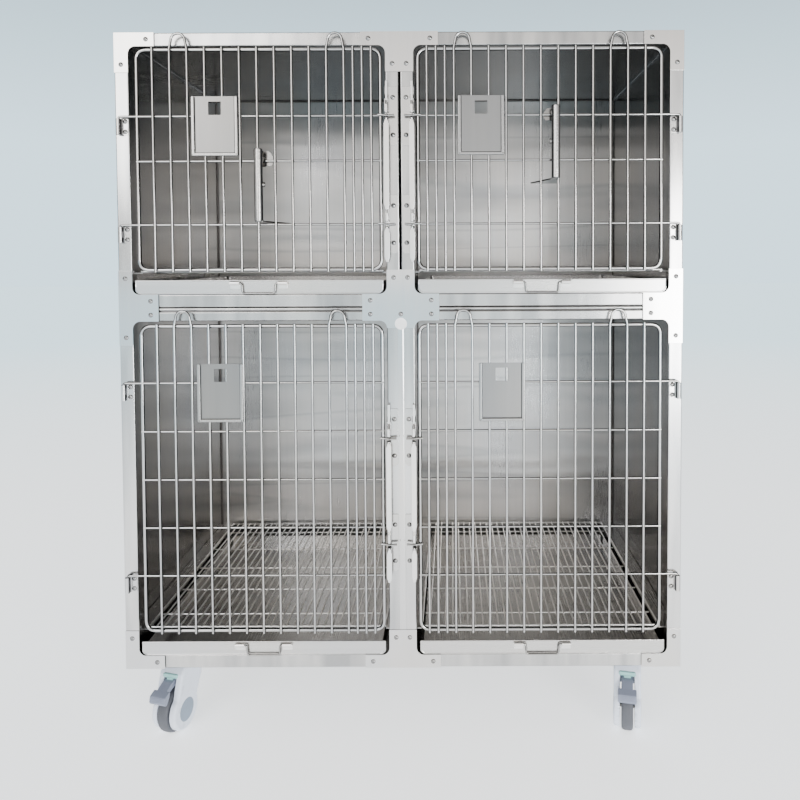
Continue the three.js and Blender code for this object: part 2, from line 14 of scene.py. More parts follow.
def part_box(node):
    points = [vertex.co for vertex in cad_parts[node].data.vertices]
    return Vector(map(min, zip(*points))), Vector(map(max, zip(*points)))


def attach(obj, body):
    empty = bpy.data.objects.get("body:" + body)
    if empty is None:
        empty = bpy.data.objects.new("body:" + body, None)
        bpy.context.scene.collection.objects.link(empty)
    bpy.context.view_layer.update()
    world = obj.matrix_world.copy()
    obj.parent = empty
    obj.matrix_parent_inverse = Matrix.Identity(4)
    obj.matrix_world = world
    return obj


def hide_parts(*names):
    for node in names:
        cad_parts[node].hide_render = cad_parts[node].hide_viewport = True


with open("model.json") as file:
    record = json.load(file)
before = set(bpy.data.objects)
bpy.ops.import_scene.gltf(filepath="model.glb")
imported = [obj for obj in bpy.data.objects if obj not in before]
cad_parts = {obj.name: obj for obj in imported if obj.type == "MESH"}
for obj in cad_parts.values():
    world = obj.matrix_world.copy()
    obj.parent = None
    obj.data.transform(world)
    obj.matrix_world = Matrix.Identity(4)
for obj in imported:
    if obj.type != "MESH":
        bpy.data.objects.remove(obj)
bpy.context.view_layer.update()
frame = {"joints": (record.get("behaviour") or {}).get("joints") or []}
JOINTS = {joint["name"]: joint for joint in frame["joints"]}


# ---- Sizes, from the frame ----
def node_box(node):
    """Lowest and highest corner of a CAD node, in millimetres of the frame."""
    return [1000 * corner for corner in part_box(node)]


SHEET = 1.5
GAP = 0.3
RAIL_FRONT = SHEET + GAP
FACE = node_box("lower_base_panel")[0].y - RAIL_FRONT
HALF_W = node_box("lower_right_outer_wall")[1].x
DEPTH = node_box("lower_back_panel")[1].y - FACE
HEIGHT = node_box("upper_roof_panel")[1].z
BASE_Z = node_box("lower_back_panel")[0].z
SPLIT_Z = node_box("lower_roof_panel")[1].z + GAP
INNER_W = node_box("lower_roof_panel")[1].x
BACK = DEPTH - RAIL_FRONT

RAIL_H = 29
POST_W = 30
SEAM = 2
LIP = 25
LEDGE_TOP = 47
LEDGE_REACH = 42

WIRE_R = 2.4
UPRIGHT_R = 2.8
RIM_R = 4
RIM_Y = -6.75
CROSS_Y = -8.5
UPRIGHT_Y = -13
RIM_OUTER_X = -560
RIM_INNER_X = -40
RIM_CORNER = 22
UPRIGHT_START = 36
UPRIGHT_PITCH = 37
WIDE_UPRIGHTS = 12
CLOSE_PITCH = 19.25
CLOSE_UPRIGHTS = 3
LOOP_RISE = 33
LOOP_STARTS = (1, 10)

HINGE_DROP = 36
LATCH_X = -27
PLATE_FRONT = -SHEET

GRILLE_WIRES = 32
GRILLE_BARS = 5
BAIL_HALF = 40
BAIL_DROP = 22
LUG_W = 20
LUG_Y = -4.6
LUG_DROP = 7

WHEEL_R = 50
TRAIL = 34
HOUSING_TOP = 158

DOOR_DROP = 39
UPPER = {"floor": SPLIT_Z, "top": HEIGHT, "cross": [1139, 1274.5, 1370], "hinges": [1139, 1370],
         "pins": [1139, 1370]}
LOWER = {"floor": BASE_Z, "top": SPLIT_Z, "cross": [376, 481.5, 587, 692.5, 798], "hinges": [376, 798],
         "pins": [444, 676]}
CAGES = {"upper_left": UPPER, "upper_right": UPPER, "lower_left": LOWER, "lower_right": LOWER}


# ---- Outlines and paths ----
def arc(cx, cy, radius, start, end, steps):
    """Points on an arc, from one angle to another in degrees."""
    angles = [math.radians(start + (end - start) * i / steps) for i in range(steps + 1)]
    return [(cx + radius * math.cos(a), cy + radius * math.sin(a)) for a in angles]


def fillet(points, radius, steps=5, closed=False):
    """Rounds each corner of a line through points in the plane or in space."""
    points = [Vector(p) for p in points]
    count = len(points)
    rounded = []
    for i, corner in enumerate(points):
        if not closed and i in (0, count - 1):
            rounded.append(corner)
            continue
        before = points[i - 1] - corner
        after = points[(i + 1) % count] - corner
        turn = math.pi - before.angle(after)
        reach = min(radius * math.tan(turn / 2), 0.49 * before.length, 0.49 * after.length)
        if turn < 0.02:
            rounded.append(corner)
            continue
        start = corner + before.normalized() * reach
        end = corner + after.normalized() * reach
        for step in range(steps + 1):
            t = step / steps
            rounded.append(start * (1 - t) ** 2 + corner * (2 * t * (1 - t)) + end * t ** 2)
    return rounded


def strip(points, thickness, radius, steps=4):
    """The section of a folded sheet: an outline of even thickness round a line with rounded folds."""
    line = fillet(points, radius, steps)
    near, far = [], []
    for i, point in enumerate(line):
        along = (line[min(i + 1, len(line) - 1)] - line[max(i - 1, 0)]).normalized()
        across = Vector((-along.y, along.x)) * (thickness / 2)
        near.append(tuple(point + across))
        far.append(tuple(point - across))
    return near + far[::-1]


def rounded_rectangle(x0, x1, y0, y1, radius, steps=5):
    corners = [(x0, y0), (x1, y0), (x1, y1), (x0, y1)]
    return [tuple(p) for p in fillet(corners, radius, steps, closed=True)]


def circle(cx, cy, radius, steps=24):
    return arc(cx, cy, radius, 0, 360, steps)[:-1]


# ---- Solids ----
TO_FRAME = Matrix.Scale(0.001, 4) @ Matrix.Translation((0, FACE, 0))


def add_object(name, data):
    """A new object in the scene."""
    made = bpy.data.objects.new(name, data)
    bpy.context.scene.collection.objects.link(made)
    return made


class Shape:
    """One piece under construction, in millimetres."""

    def __init__(self):
        self.bm = bmesh.new()

    def absorb(self, other, matrix=None):
        """Adds another mesh, moved by matrix."""
        if matrix is not None:
            bmesh.ops.transform(other, matrix=matrix, verts=other.verts)
        mesh = bpy.data.meshes.new("part")
        other.to_mesh(mesh)
        other.free()
        self.bm.from_mesh(mesh)
        bpy.data.meshes.remove(mesh)

    def tube(self, path, radius, sides=12, closed=False):
        """A round wire along a path, with its ends slightly rounded."""
        path = [Vector(p) for p in path]
        count = len(path)
        radii = [radius] * count
        if not closed:
            tip = radius * 0.35
            head = (path[1] - path[0]).normalized() * tip
            tail = (path[-2] - path[-1]).normalized() * tip
            path = [path[0], path[0] + head, *path[1:-1], path[-1] + tail, path[-1]]
            radii = [radius * 0.7, *[radius] * count, radius * 0.7]
            count += 2
        rings = []
        side = None
        for i, point in enumerate(path):
            ahead = path[(i + 1) % count] if closed or i < count - 1 else point
            behind = path[i - 1] if closed or i > 0 else point
            along = (ahead - behind).normalized()
            if side is None:
                side = along.orthogonal().normalized()
            side = (side - along * side.dot(along)).normalized()
            other = along.cross(side)
            ring = []
            for k in range(sides):
                angle = 2 * math.pi * k / sides
                offset = side * math.cos(angle) + other * math.sin(angle)
                ring.append(self.bm.verts.new(point + offset * radii[i]))
            rings.append(ring)
        pairs = list(zip(rings, rings[1:]))
        if closed:
            pairs.append((rings[-1], rings[0]))
        for low, high in pairs:
            for k in range(sides):
                n = (k + 1) % sides
                self.bm.faces.new((low[k], low[n], high[n], high[k]))
        if not closed:
            self.bm.faces.new(rings[0][::-1])
            self.bm.faces.new(rings[-1])

    def prism(self, outline, low, high, axes="xzy", holes=(), edge=0.3, segments=2):
        """An outline with holes, extruded from low to high, with softened edges.

        axes names the frame's axes for the outline's two directions and the extrusion.
        """
        bm = bmesh.new()
        loops = [[Vector((p[0], p[1])) for p in loop] for loop in (outline, *holes)]
        flat = [[p.to_3d() for p in loop] for loop in loops]
        triangles = geometry.tessellate_polygon(flat)
        points = [p for loop in flat for p in loop]
        bottom = [bm.verts.new((p.x, p.y, low)) for p in points]
        top = [bm.verts.new((p.x, p.y, high)) for p in points]
        for triangle in triangles:
            bm.faces.new([bottom[i] for i in triangle])
            bm.faces.new([top[i] for i in reversed(triangle)])
        start = 0
        for loop in loops:
            size = len(loop)
            for i in range(size):
                a, b = start + i, start + (i + 1) % size
                bm.faces.new((bottom[a], bottom[b], top[b], top[a]))
            start += size
        bmesh.ops.recalc_face_normals(bm, faces=bm.faces)
        bmesh.ops.dissolve_limit(bm, angle_limit=0.001, verts=bm.verts, edges=bm.edges)
        if edge:
            sharp = [e for e in bm.edges if len(e.link_faces) == 2 and e.calc_face_angle() > 0.6]
            bmesh.ops.bevel(bm, geom=sharp, offset=edge, segments=segments, profile=0.5, affect="EDGES",
                            clamp_overlap=True)
        order = ["xyz".index(axis) for axis in axes]
        for vert in bm.verts:
            co = vert.co.copy()
            for source, target in enumerate(order):
                vert.co[target] = co[source]
        self.absorb(bm)

    def slab(self, x0, x1, y0, y1, z0, z1, edge=0.4, segments=2):
        """A block with softened edges."""
        outline = [(x0, z0), (x1, z0), (x1, z1), (x0, z1)]
        self.prism(outline, y0, y1, "xzy", edge=edge, segments=segments)

    def lathe(self, profile, place, steps=32):
        """A profile of (radius, height) turned about local Z, then placed by a matrix."""
        bm = bmesh.new()
        rings = []
        for radius, height in profile:
            if radius < 1e-6:
                rings.append([bm.verts.new((0, 0, height))])
                continue
            rings.append([bm.verts.new((x, y, height)) for x, y in circle(0, 0, radius, steps)])
        if profile[0] == profile[-1]:
            bmesh.ops.delete(bm, geom=rings.pop(), context="VERTS")
            rings.append(rings[0])
        for low, high in zip(rings, rings[1:]):
            for k in range(steps):
                n = (k + 1) % steps
                corners = [low[k % len(low)], low[n % len(low)], high[n % len(high)], high[k % len(high)]]
                unique = list(dict.fromkeys(corners))
                if len(unique) > 2:
                    bm.faces.new(unique)
        self.absorb(bm, place)

    def blob(self, centre, size):
        """A small smooth drop, such as a weld bead."""
        bm = bmesh.new()
        bmesh.ops.create_icosphere(bm, subdivisions=2, radius=1)
        self.absorb(bm, Matrix.Translation(centre) @ Matrix.Diagonal((*size, 1)))

    def piece(self, name, body, slot, material, replaces=(), mirror=False, smooth=40, place=None):
        """Turns the shape into a finished object that rides on a body of the frame."""
        bm = self.bm
        if place is not None:
            bmesh.ops.transform(bm, matrix=place, verts=bm.verts)
        if mirror:
            bmesh.ops.transform(bm, matrix=Matrix.Diagonal((-1, 1, 1, 1)), verts=bm.verts)
        bmesh.ops.transform(bm, matrix=TO_FRAME, verts=bm.verts)
        bmesh.ops.recalc_face_normals(bm, faces=bm.faces)
        mesh = bpy.data.meshes.new(name)
        bm.to_mesh(mesh)
        bm.free()
        mesh.shade_smooth()
        mesh.set_sharp_from_angle(angle=math.radians(smooth))
        mesh.materials.append(material)
        made = add_object(name, mesh)
        even = made.modifiers.new("even normals", "WEIGHTED_NORMAL")
        even.keep_sharp = True
        even.weight = 90
        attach(made, body)
        if replaces:
            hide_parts(*replaces)
        return made


def cabinet_sheet(name, section, reach, axes, material, replaces=(), mirror=False, edge=0.25,
                  slot="polished_steel"):
    """A piece of the cabinet whose section runs from one end of reach to the other."""
    shape = Shape()
    shape.prism(section, *reach, axes, edge=edge)
    shape.piece(name, "cabinet", slot, material, replaces, mirror)


def rivets(name, places, face=PLATE_FRONT, mirror=False):
    """Blind rivets at places (x, z) of a sheet: domes with a dimple where the mandrel broke off."""
    radius, height = 5.2, 3.0
    dome = [(radius * u, height * v) for u, v in arc(0, 0, 1, 8, 68, 5)]
    dimple = [(radius * 0.29, height * 0.95), (radius * 0.22, height * 0.7), (0, height * 0.62)]
    shape = Shape()
    for x, z in places:
        front = Matrix.Translation((x, face, z)) @ Matrix.Rotation(math.pi / 2, 4, "X")
        shape.lathe([(radius, -0.3), *dome, *dimple], front, 20)
    shape.piece(f"{name}_rivets", "cabinet", "polished_steel", RIVET, mirror=mirror)


# ---- Materials ----
def feed(tree, made, **inputs):
    """Gives each input of a node another node's output or a fixed value."""
    for name, value in inputs.items():
        socket = made.inputs[name.replace("_", " ")]
        if isinstance(value, bpy.types.NodeSocket):
            tree.links.new(value, socket)
        else:
            socket.default_value = value


def node(tree, kind, **inputs):
    """A new node with its inputs fed."""
    made = tree.nodes.new(kind)
    feed(tree, made, **inputs)
    return made


def node_material(name, metallic, roughness, **inputs):
    """A material with a Principled shader, and what its nodes need."""
    material = bpy.data.materials.new(name)
    material.use_nodes = True
    tree = material.node_tree
    shader = tree.nodes["Principled BSDF"]
    feed(tree, shader, Metallic=metallic, Roughness=roughness, **inputs)
    return material, tree, shader


def noise(tree, scale, stretch=(1, 1, 1), detail=4, distortion=0.0, coordinates="Object"):
    """Noise in the piece's own coordinates; stretch multiplies the scale along each axis."""
    place = node(tree, "ShaderNodeTexCoord").outputs[coordinates]
    mapping = node(tree, "ShaderNodeMapping", Vector=place, Scale=[scale * s for s in stretch])
    texture = node(tree, "ShaderNodeTexNoise", Vector=mapping.outputs["Vector"], Scale=1, Detail=detail,
                   Distortion=distortion)
    return texture.outputs["Fac"]


def spread(tree, value, low, high, start=0.3, end=0.7):
    """Maps a value's middle range to low..high."""
    mapped = node(tree, "ShaderNodeMapRange", Value=value, From_Min=start, From_Max=end, To_Min=low,
                  To_Max=high)
    return mapped.outputs["Result"]


def ramp(tree, value, places):
    """Colours at places along 0..1."""
    made = node(tree, "ShaderNodeValToRGB", Fac=value)
    elements = made.color_ramp.elements
    while len(elements) < len(places):
        elements.new(0.5)
    for element, (position, colour) in zip(elements, places):
        element.position = position
        element.color = (*colour[:3], 1)
    return made.outputs["Color"]


def two_colours(tree, value, first, second):
    return ramp(tree, value, [(0.35, first), (0.65, second)])


def greys(tree, value, places):
    """Grey levels at places along 0..1."""
    return ramp(tree, value, [(position, (level, level, level)) for position, level in places])


def mix(tree, factor, first, second, blend="MIX"):
    """Blends two colours; each of the three is a node's output or a fixed value."""
    made = tree.nodes.new("ShaderNodeMix")
    made.data_type = "RGBA"
    made.blend_type = blend
    feed(tree, made, Factor=factor, A=first, B=second)
    return made.outputs["Result"]


def axis_value(tree, coordinates, axis):
    """One component of a texture coordinate."""
    place = node(tree, "ShaderNodeTexCoord").outputs[coordinates]
    return node(tree, "ShaderNodeSeparateXYZ", Vector=place).outputs[axis]


def calculate(tree, operation, *values):
    made = tree.nodes.new("ShaderNodeMath")
    made.operation = operation
    for socket, value in zip(made.inputs, values):
        tree.links.new(value, socket)
    return made.outputs["Value"]


def bump(tree, shader, height):
    """Relief from a height, in metres."""
    made = node(tree, "ShaderNodeBump", Height=height, Distance=1, Strength=1)
    tree.links.new(made.outputs["Normal"], shader.inputs["Normal"])


def shade(tone, red=1.0, green=1.0, blue=1.0):
    return (tone * red, tone * green, tone * blue, 1)


def steel(name, tone, roughness, grain=(1, 1, 1), grain_depth=2e-6, wave_depth=0.0, smudge=0.03, drawn=0.0,
          lit_face_tone=0.0, bands=0.0, facing=None, glance=1.0):
    """Stainless steel: rolled grain, faint waviness of the sheet, and smudges where it has been wiped.

    drawn is the anisotropy that a vertical grain gives to upright sheets. lit_face_tone is the tone of the
    post, rail or roof top that the same sheet folds into, crossed by vertical painted reflection streaks;
    the rest of the sheet keeps its darker tone as painted shade inside the cage. bands is the depth of long
    level waves, whose troughs and crest lines are also painted darker as a painted reflection. facing names
    the axis that the bright line of a round wire, or the bright face of a sheet, faces; its flanks mirror
    their neighbours and are painted darker as a painted reflection. glance is how much of the light is kept
    at a glancing angle.
    """
    material, tree, shader = node_material(name, 1, roughness, Anisotropic=drawn, Specular_Tint=shade(glance))
    if drawn:
        tangent = node(tree, "ShaderNodeTangent")
        tangent.direction_type = "RADIAL"
        tangent.axis = "Z"
        feed(tree, shader, Tangent=tangent.outputs["Tangent"])
    smudges = noise(tree, 5, (1, 1, 0.5), distortion=0.3)
    fine = noise(tree, 700, grain, detail=2)
    streaks = noise(tree, 90, grain, detail=1)
    waves = noise(tree, 5, detail=0)
    colour = two_colours(tree, smudges, shade(tone, 0.93, 0.925, 0.925), shade(tone, 1, 0.96, 0.91))
    colour = mix(tree, spread(tree, streaks, 0.12, 0), colour, shade(tone, 0.6, 0.6, 0.6))
    wavy = spread(tree, waves, 0, wave_depth, 0, 1)
    relief = calculate(tree, "ADD", wavy, spread(tree, fine, 0, grain_depth, 0, 1))
    if bands:
        level = noise(tree, 13, (0.12, 0.12, 1), detail=1, distortion=0.25)
        relief = calculate(tree, "ADD", relief, spread(tree, level, 0, bands, 0, 1))
        # Painted reflection: the troughs of the level waves and thin lines along their crests are painted
        # darker.
        painted_wave_shade = shade(tone, 0.52, 0.53, 0.55)
        colour = mix(tree, spread(tree, level, 0.4, 0, 0.34, 0.5), colour, painted_wave_shade)
        crest = noise(tree, 15, (0.05, 0.05, 1), detail=0, distortion=0.05)
        rising = spread(tree, crest, 0, 1, 0.46, 0.5)
        falling = spread(tree, crest, 1, 0, 0.5, 0.56)
        line = calculate(tree, "MULTIPLY", rising, falling)
        colour = mix(tree, spread(tree, line, 0, 0.45, 0, 1), colour, painted_wave_shade)
    if facing:
        # Painted reflection: faces turned away from the facing axis, such as the flanks of a round wire, are
        # painted darker.
        aside = calculate(tree, "ABSOLUTE", axis_value(tree, "Normal", facing))
        colour = mix(tree, spread(tree, aside, 1, 0, 0.62, 0.9), colour, shade(tone, 0.16, 0.16, 0.17))
    # Painted light and shade: the sheet's front and top take the lighter tone, crossed by darker vertical
    # streaks as a painted reflection, while the rest of the sheet keeps its much darker tone as painted shade
    # inside the cage.
    if lit_face_tone:
        y, z = (axis_value(tree, "Object", axis) for axis in "YZ")
        front = spread(tree, y, 1, 0, (FACE + 2.4) / 1000, (FACE + 3.4) / 1000)
        top = spread(tree, z, 0, 1, (HEIGHT - 1.1) / 1000, (HEIGHT - 0.5) / 1000)
        reflection_streaks = noise(tree, 5, (4, 1, 0.5), detail=2)
        lit_face_colour = two_colours(tree, reflection_streaks, shade(lit_face_tone, 0.62, 0.62, 0.62), shade(lit_face_tone, 1, 0.98, 0.955))
        colour = mix(tree, calculate(tree, "MAXIMUM", front, top), colour, lit_face_colour)
    wiped = spread(tree, smudges, roughness - smudge, roughness + smudge)
    scratched = spread(tree, fine, -smudge * 0.5, smudge * 0.5)
    feed(tree, shader, Base_Color=colour, Roughness=calculate(tree, "ADD", wiped, scratched))
    bump(tree, shader, relief)
    return material


def plastic(name, colour, roughness, grain=1e-5):
    """Moulded plastic with a fine spark-eroded texture and slightly uneven gloss."""
    material, tree, shader = node_material(name, 0, roughness)
    clouds = noise(tree, 30, detail=3)
    feed(tree, shader, Base_Color=two_colours(tree, clouds, [0.92 * c for c in colour], colour),
         Roughness=spread(tree, clouds, roughness - 0.05, roughness + 0.06))
    bump(tree, shader, spread(tree, noise(tree, 2500, detail=2), 0, grain, 0, 1))
    return material


# Grain directions: a small scale draws the noise out along that axis.
UPRIGHT = (1, 1, 0.02)
ACROSS = (0.015, 1, 1)
INWARD = (1, 0.015, 1)
DRAWN_BAR = (1, 1, 0.05)

POLISHED = steel("polished stainless", 0.7, 0.14, UPRIGHT, 1e-6, 0.0012, facing="Y")
# Painted shade: the wall sheet is far darker inside the cage than on its post front.
WALL = steel("wall stainless", 0.34, 0.2, UPRIGHT, 1e-6, 0.0003, smudge=0.02, lit_face_tone=0.7, glance=0.55)
# The back sheets' bands are painted reflections of the sheet's level waves, on top of their real relief.
BACK_SHEET = steel("back sheet stainless", 0.53, 0.3, UPRIGHT, 3e-6, 0.0006, drawn=0.4, bands=0.003)
# Painted shade: the roof and floor sheets are very dark inside the cages and lighter on their rails and roof
# top.
CROSS_GRAIN = steel("cross-grained stainless", 0.2, 0.24, ACROSS, wave_depth=0.0005, lit_face_tone=0.58, glance=0.6)
LONG_GRAIN = steel("lengthwise-grained stainless", 0.62, 0.26, INWARD, wave_depth=0.0004)
WIRE = steel("electropolished wire", 0.46, 0.12, facing="Y", glance=0.2)
BAIL = steel("bail wire", 0.36, 0.15, facing="Y", glance=0.2)
# Painted shade: the rivets are a darker steel than the plates they hold, for the shade round their domes.
RIVET = steel("rivet stainless", 0.28, 0.2)
WELD = steel("weld bead", 0.22, 0.3, grain_depth=4e-6)
# The card holder's plate and lips are one folded sheet in two tones: the lighter lips are painted light on
# the folds.
CARD = steel("card holder stainless", 0.25, 0.34, UPRIGHT, 3e-6, 0.0002, facing="Y")
CARD_LIP = steel("card holder lip stainless", 0.37, 0.26, UPRIGHT, facing="Y")
ZINC = steel("zinc-plated steel", 0.5, 0.4, grain_depth=6e-6)
BAR = steel("latch bar steel", 0.9, 0.2, DRAWN_BAR, facing="Y")
HARDWARE = steel("hardware stainless", 0.62, 0.18, DRAWN_BAR, wave_depth=0.0004, facing="Y")
BRACKET = steel("bracket stainless", 0.5, 0.24, UPRIGHT, 3e-6, 0.0002, facing="Y")
FITTING = steel("bracket fitting stainless", 0.24, 0.16, UPRIGHT, wave_depth=0.002)
LUG = steel("lug stainless", 0.9, 0.22, ACROSS)
TRAY = steel("tray stainless", 0.62, 0.26, ACROSS, wave_depth=0.0003)
# Painted light: the grille wire is a far lighter copy of the door wire, to brighten the cage floors.
GRILLE = steel("grille wire", 0.97, 0.32)
# Painted shade: the dark bead laid into the back corners of each cage.
CORNER_SHADE_BEAD = plastic("dark corner shade bead", (0.15, 0.135, 0.125), 0.5)
WHITE = plastic("white caster plastic", (0.76, 0.82, 0.93), 0.3)
HUB = plastic("blue-grey hub plastic", (0.21, 0.27, 0.35), 0.38)
PEDAL = plastic("blue-grey pedal plastic", (0.21, 0.235, 0.31), 0.42)
MINT = plastic("mint release tab plastic", (0.30, 0.58, 0.56), 0.35)
TYRE = plastic("grey tyre rubber", (0.085, 0.09, 0.105), 0.62, 3e-5)
BLANK = plastic("white sticker paper", (0.93, 0.93, 0.93), 0.5)


# ---- Sheet metal of the two modules ----
def module_sheets():
    """Roof, floor and back of each module; the roofs and floors fold down or up into the front rails."""
    t = SHEET / 2
    front = RAIL_FRONT + t
    lip = RAIL_FRONT + LIP
    roof, ceiling = HEIGHT - t, SPLIT_Z - GAP - t
    floor, base = SPLIT_Z + RAIL_H - t, BASE_Z + RAIL_H - t
    groove = SPLIT_Z - 5.5
    folds = {
        "upper_roof": [(DEPTH, roof), (front, roof), (front, HEIGHT - RAIL_H + t),
                       (lip, HEIGHT - RAIL_H + t)],
        "upper_floor": [(BACK, floor), (front, floor), (front, SPLIT_Z + 3.4), (front + 2, SPLIT_Z + GAP + t),
                        (lip, SPLIT_Z + GAP + t)],
        "lower_roof": [(BACK, ceiling), (front, ceiling), (front, groove), (front + 4, groove - 0.6),
                       (front + 4, groove - 3.6), (front, groove - 4.2), (front, SPLIT_Z - RAIL_H + t),
                       (lip, SPLIT_Z - RAIL_H + t)],
        "lower_base": [(BACK - t, BASE_Z), (BACK - t, base), (front, base), (front, BASE_Z + t),
                       (lip, BASE_Z + t)],
    }
    for name, line in folds.items():
        cabinet_sheet(f"{name}_sheet", strip(line, SHEET, 2), (-INNER_W, INNER_W), "yzx", CROSS_GRAIN,
                      [f"{name}_panel"], slot="brushed_steel")
    backs = {"upper": (SPLIT_Z + GAP, HEIGHT - SHEET - GAP), "lower": (BASE_Z, SPLIT_Z - GAP)}
    for name, (low, high) in backs.items():
        shape = Shape()
        shape.slab(-INNER_W, INNER_W, DEPTH - SHEET, DEPTH, low, high, edge=0.5)
        shape.piece(f"{name}_back_sheet", "cabinet", "brushed_steel", BACK_SHEET, [f"{name}_back_panel"])


def centre_strip():
    """The cover strip of the lower centre seam, with a shallow crown between two grooves."""
    low, high = node_box("lower_centre_strip")
    half = high.x
    section = strip([(-half, -0.8), (-half + 1.6, -0.8), (-half + 2.6, -1.1), (half - 2.6, -1.1),
                     (half - 1.6, -0.8), (half, -0.8)], 0.8, 0.8, 2)
    cabinet_sheet("lower_centre_cover_strip", section, (low.z, high.z), "xyz", POLISHED,
                  ["lower_centre_strip"], edge=0.12)


def caster_carriers():
    """Two cross channels under the floor, with a plate, four bolts and a kingpin over each caster."""
    channels, plates, pins = Shape(), Shape(), Shape()
    bolt = [(6, -0.2), (6, 0.8), (5.2, 1.2), (4.6, 1.2), (4.6, 4.2), (4.1, 4.8), (0, 4.8)]
    downward = Matrix.Rotation(math.pi, 4, "X")
    half = 35
    reach = 600
    top = BASE_Z + RAIL_H - 1
    for name in ("front_left", "rear_left"):
        caster_x, caster_y, _ = JOINTS[f"{name}_caster_swivel"]["pos_m"]
        y = 1000 * caster_y - FACE
        outer = rounded_rectangle(y - half, y + half, BASE_Z, top, 2.5, 3)
        inner = rounded_rectangle(y - half + SHEET, y + half - SHEET, BASE_Z + SHEET, top - SHEET, 1.2, 3)
        channels.prism(outer, -reach, reach, "yzx", holes=[inner], edge=0.2)
        for side in (-1, 1):
            x = side * abs(1000 * caster_x)
            outline = rounded_rectangle(x - half, x + half, y - 34, y + 34, 8)
            plates.prism(outline, BASE_Z - 4, BASE_Z, "xyz", edge=0.6)
            pins.lathe([(0, HOUSING_TOP - 30), (8, HOUSING_TOP - 30), (8, BASE_Z - 3.5), (0, BASE_Z - 3.5)],
                       Matrix.Translation((x, y, 0)), 24)
            for bolt_x in (x - 26, x + 26):
                for bolt_y in (y - 25, y + 25):
                    plates.lathe(bolt, Matrix.Translation((bolt_x, bolt_y, BASE_Z - 4)) @ downward, 6)
    channels.piece("caster_cross_channels", "cabinet", "brushed_steel", CROSS_GRAIN)
    plates.piece("caster_plates_and_bolts", "cabinet", "brushed_steel", ZINC)
    pins.piece("caster_kingpins", "cabinet", "brushed_steel", ZINC)


# ---- Junction plates ----
def junction_outline(x0, x1, z0, z1, left=0, right=0, up=0, down=0):
    """A rectangle over the joint with an arm in each direction, and rounded inner corners."""
    r = 16

    def inner(x, z, out, rise, start, *arms):
        """A rounded corner between two arms, or the bare corner where one of them is missing."""
        return arc(x + out * r, z + rise * r, r, start, start - 90, 6) if all(arms) else [(x, z)]

    points = [(x0 - left, z0), *inner(x0, z0, -1, -1, 90, left, down), (x0, z0 - down), (x1, z0 - down),
              *inner(x1, z0, 1, -1, 180, right, down), (x1 + right, z0), (x1 + right, z1),
              *inner(x1, z1, 1, 1, 270, right, up), (x1, z1 + up), (x0, z1 + up),
              *inner(x0, z1, -1, 1, 0, left, up), (x0 - left, z1)]
    return [p for i, p in enumerate(points) if (Vector(p) - Vector(points[i - 1])).length > 0.01]


def junction_plates():
    """Plates over the joints of posts and rails, each riveted near the ends of its arms."""
    rails = {"top": (HEIGHT - RAIL_H, HEIGHT), "middle": (SPLIT_Z - RAIL_H, SPLIT_Z + RAIL_H),
             "bottom": (BASE_Z, BASE_Z + RAIL_H)}
    posts = {"left": (-HALF_W, -HALF_W + POST_W), "centre": (-POST_W, POST_W),
             "right": (HALF_W - POST_W, HALF_W)}
    inset = 17
    pair = 15
    for level, (z0, z1) in rails.items():
        for column, (x0, x1) in posts.items():
            plate = f"{level}_{column}_junction_plate"
            low, high = node_box(plate)
            arms = {"left": x0 - low.x, "right": high.x - x1, "up": high.z - z1, "down": z0 - low.z}
            arms = {way: reach if reach > 5 else 0 for way, reach in arms.items()}
            columns = [-pair, pair] if column == "centre" else [(x0 + x1) / 2]
            rows = [SPLIT_Z - pair, SPLIT_Z + pair] if level == "middle" else [(z0 + z1) / 2]
            heads = []
            if arms["left"]:
                heads += [(x0 - arms["left"] + inset, z) for z in rows]
            if arms["right"]:
                heads += [(x1 + arms["right"] - inset, z) for z in rows]
            if arms["up"] > inset:
                heads += [(x, z1 + arms["up"] - inset) for x in columns]
            if arms["down"] > inset:
                heads += [(x, z0 - arms["down"] + inset) for x in columns]
            elif arms["down"]:
                heads.append((0, SPLIT_Z - pair))
            outline = junction_outline(x0, x1, z0, z1, **arms)
            cabinet_sheet(f"{plate}_pressed", outline, (PLATE_FRONT, -GAP), "xzy", POLISHED, [plate],
                          edge=0.5)
            rivets(plate, heads)


def blank_sticker():
    """A plain white round sticker under the middle plate's lower rivet."""
    outline = circle(0, SPLIT_Z - RAIL_H - 7, 13, 40)
    cabinet_sheet("blank_round_sticker", outline, (PLATE_FRONT - 0.35, PLATE_FRONT - 0.02), "xzy", BLANK,
                  edge=0.1, slot="white_plastic")


# ---- Walls of one cage ----
def wall_levels(cage):
    """Foot and head of a cage's walls."""
    foot = cage["floor"] + (0 if cage["floor"] == BASE_Z else GAP)
    head = cage["top"] - (0 if cage["top"] == HEIGHT else GAP)
    return foot, head


def outer_wall(name, cage, mirror):
    """The side wall with its front post and return lip, folded from one sheet."""
    t = SHEET / 2
    section = strip([(-HALF_W + t, DEPTH), (-HALF_W + t, t), (-HALF_W + POST_W - t, t),
                     (-HALF_W + POST_W - t, LIP)], SHEET, 2)
    cabinet_sheet(f"{name}_outer_wall_and_post", section, wall_levels(cage), "xyz", WALL,
                  [f"{name}_outer_wall"], mirror)
    ledge(name, cage, -HALF_W + SHEET, -HALF_W + LEDGE_REACH, "outer", mirror)
    for place, z in zip(("low", "high"), cage["hinges"]):
        hinge_leaf(f"{name}_hinge_{place}", z, mirror)


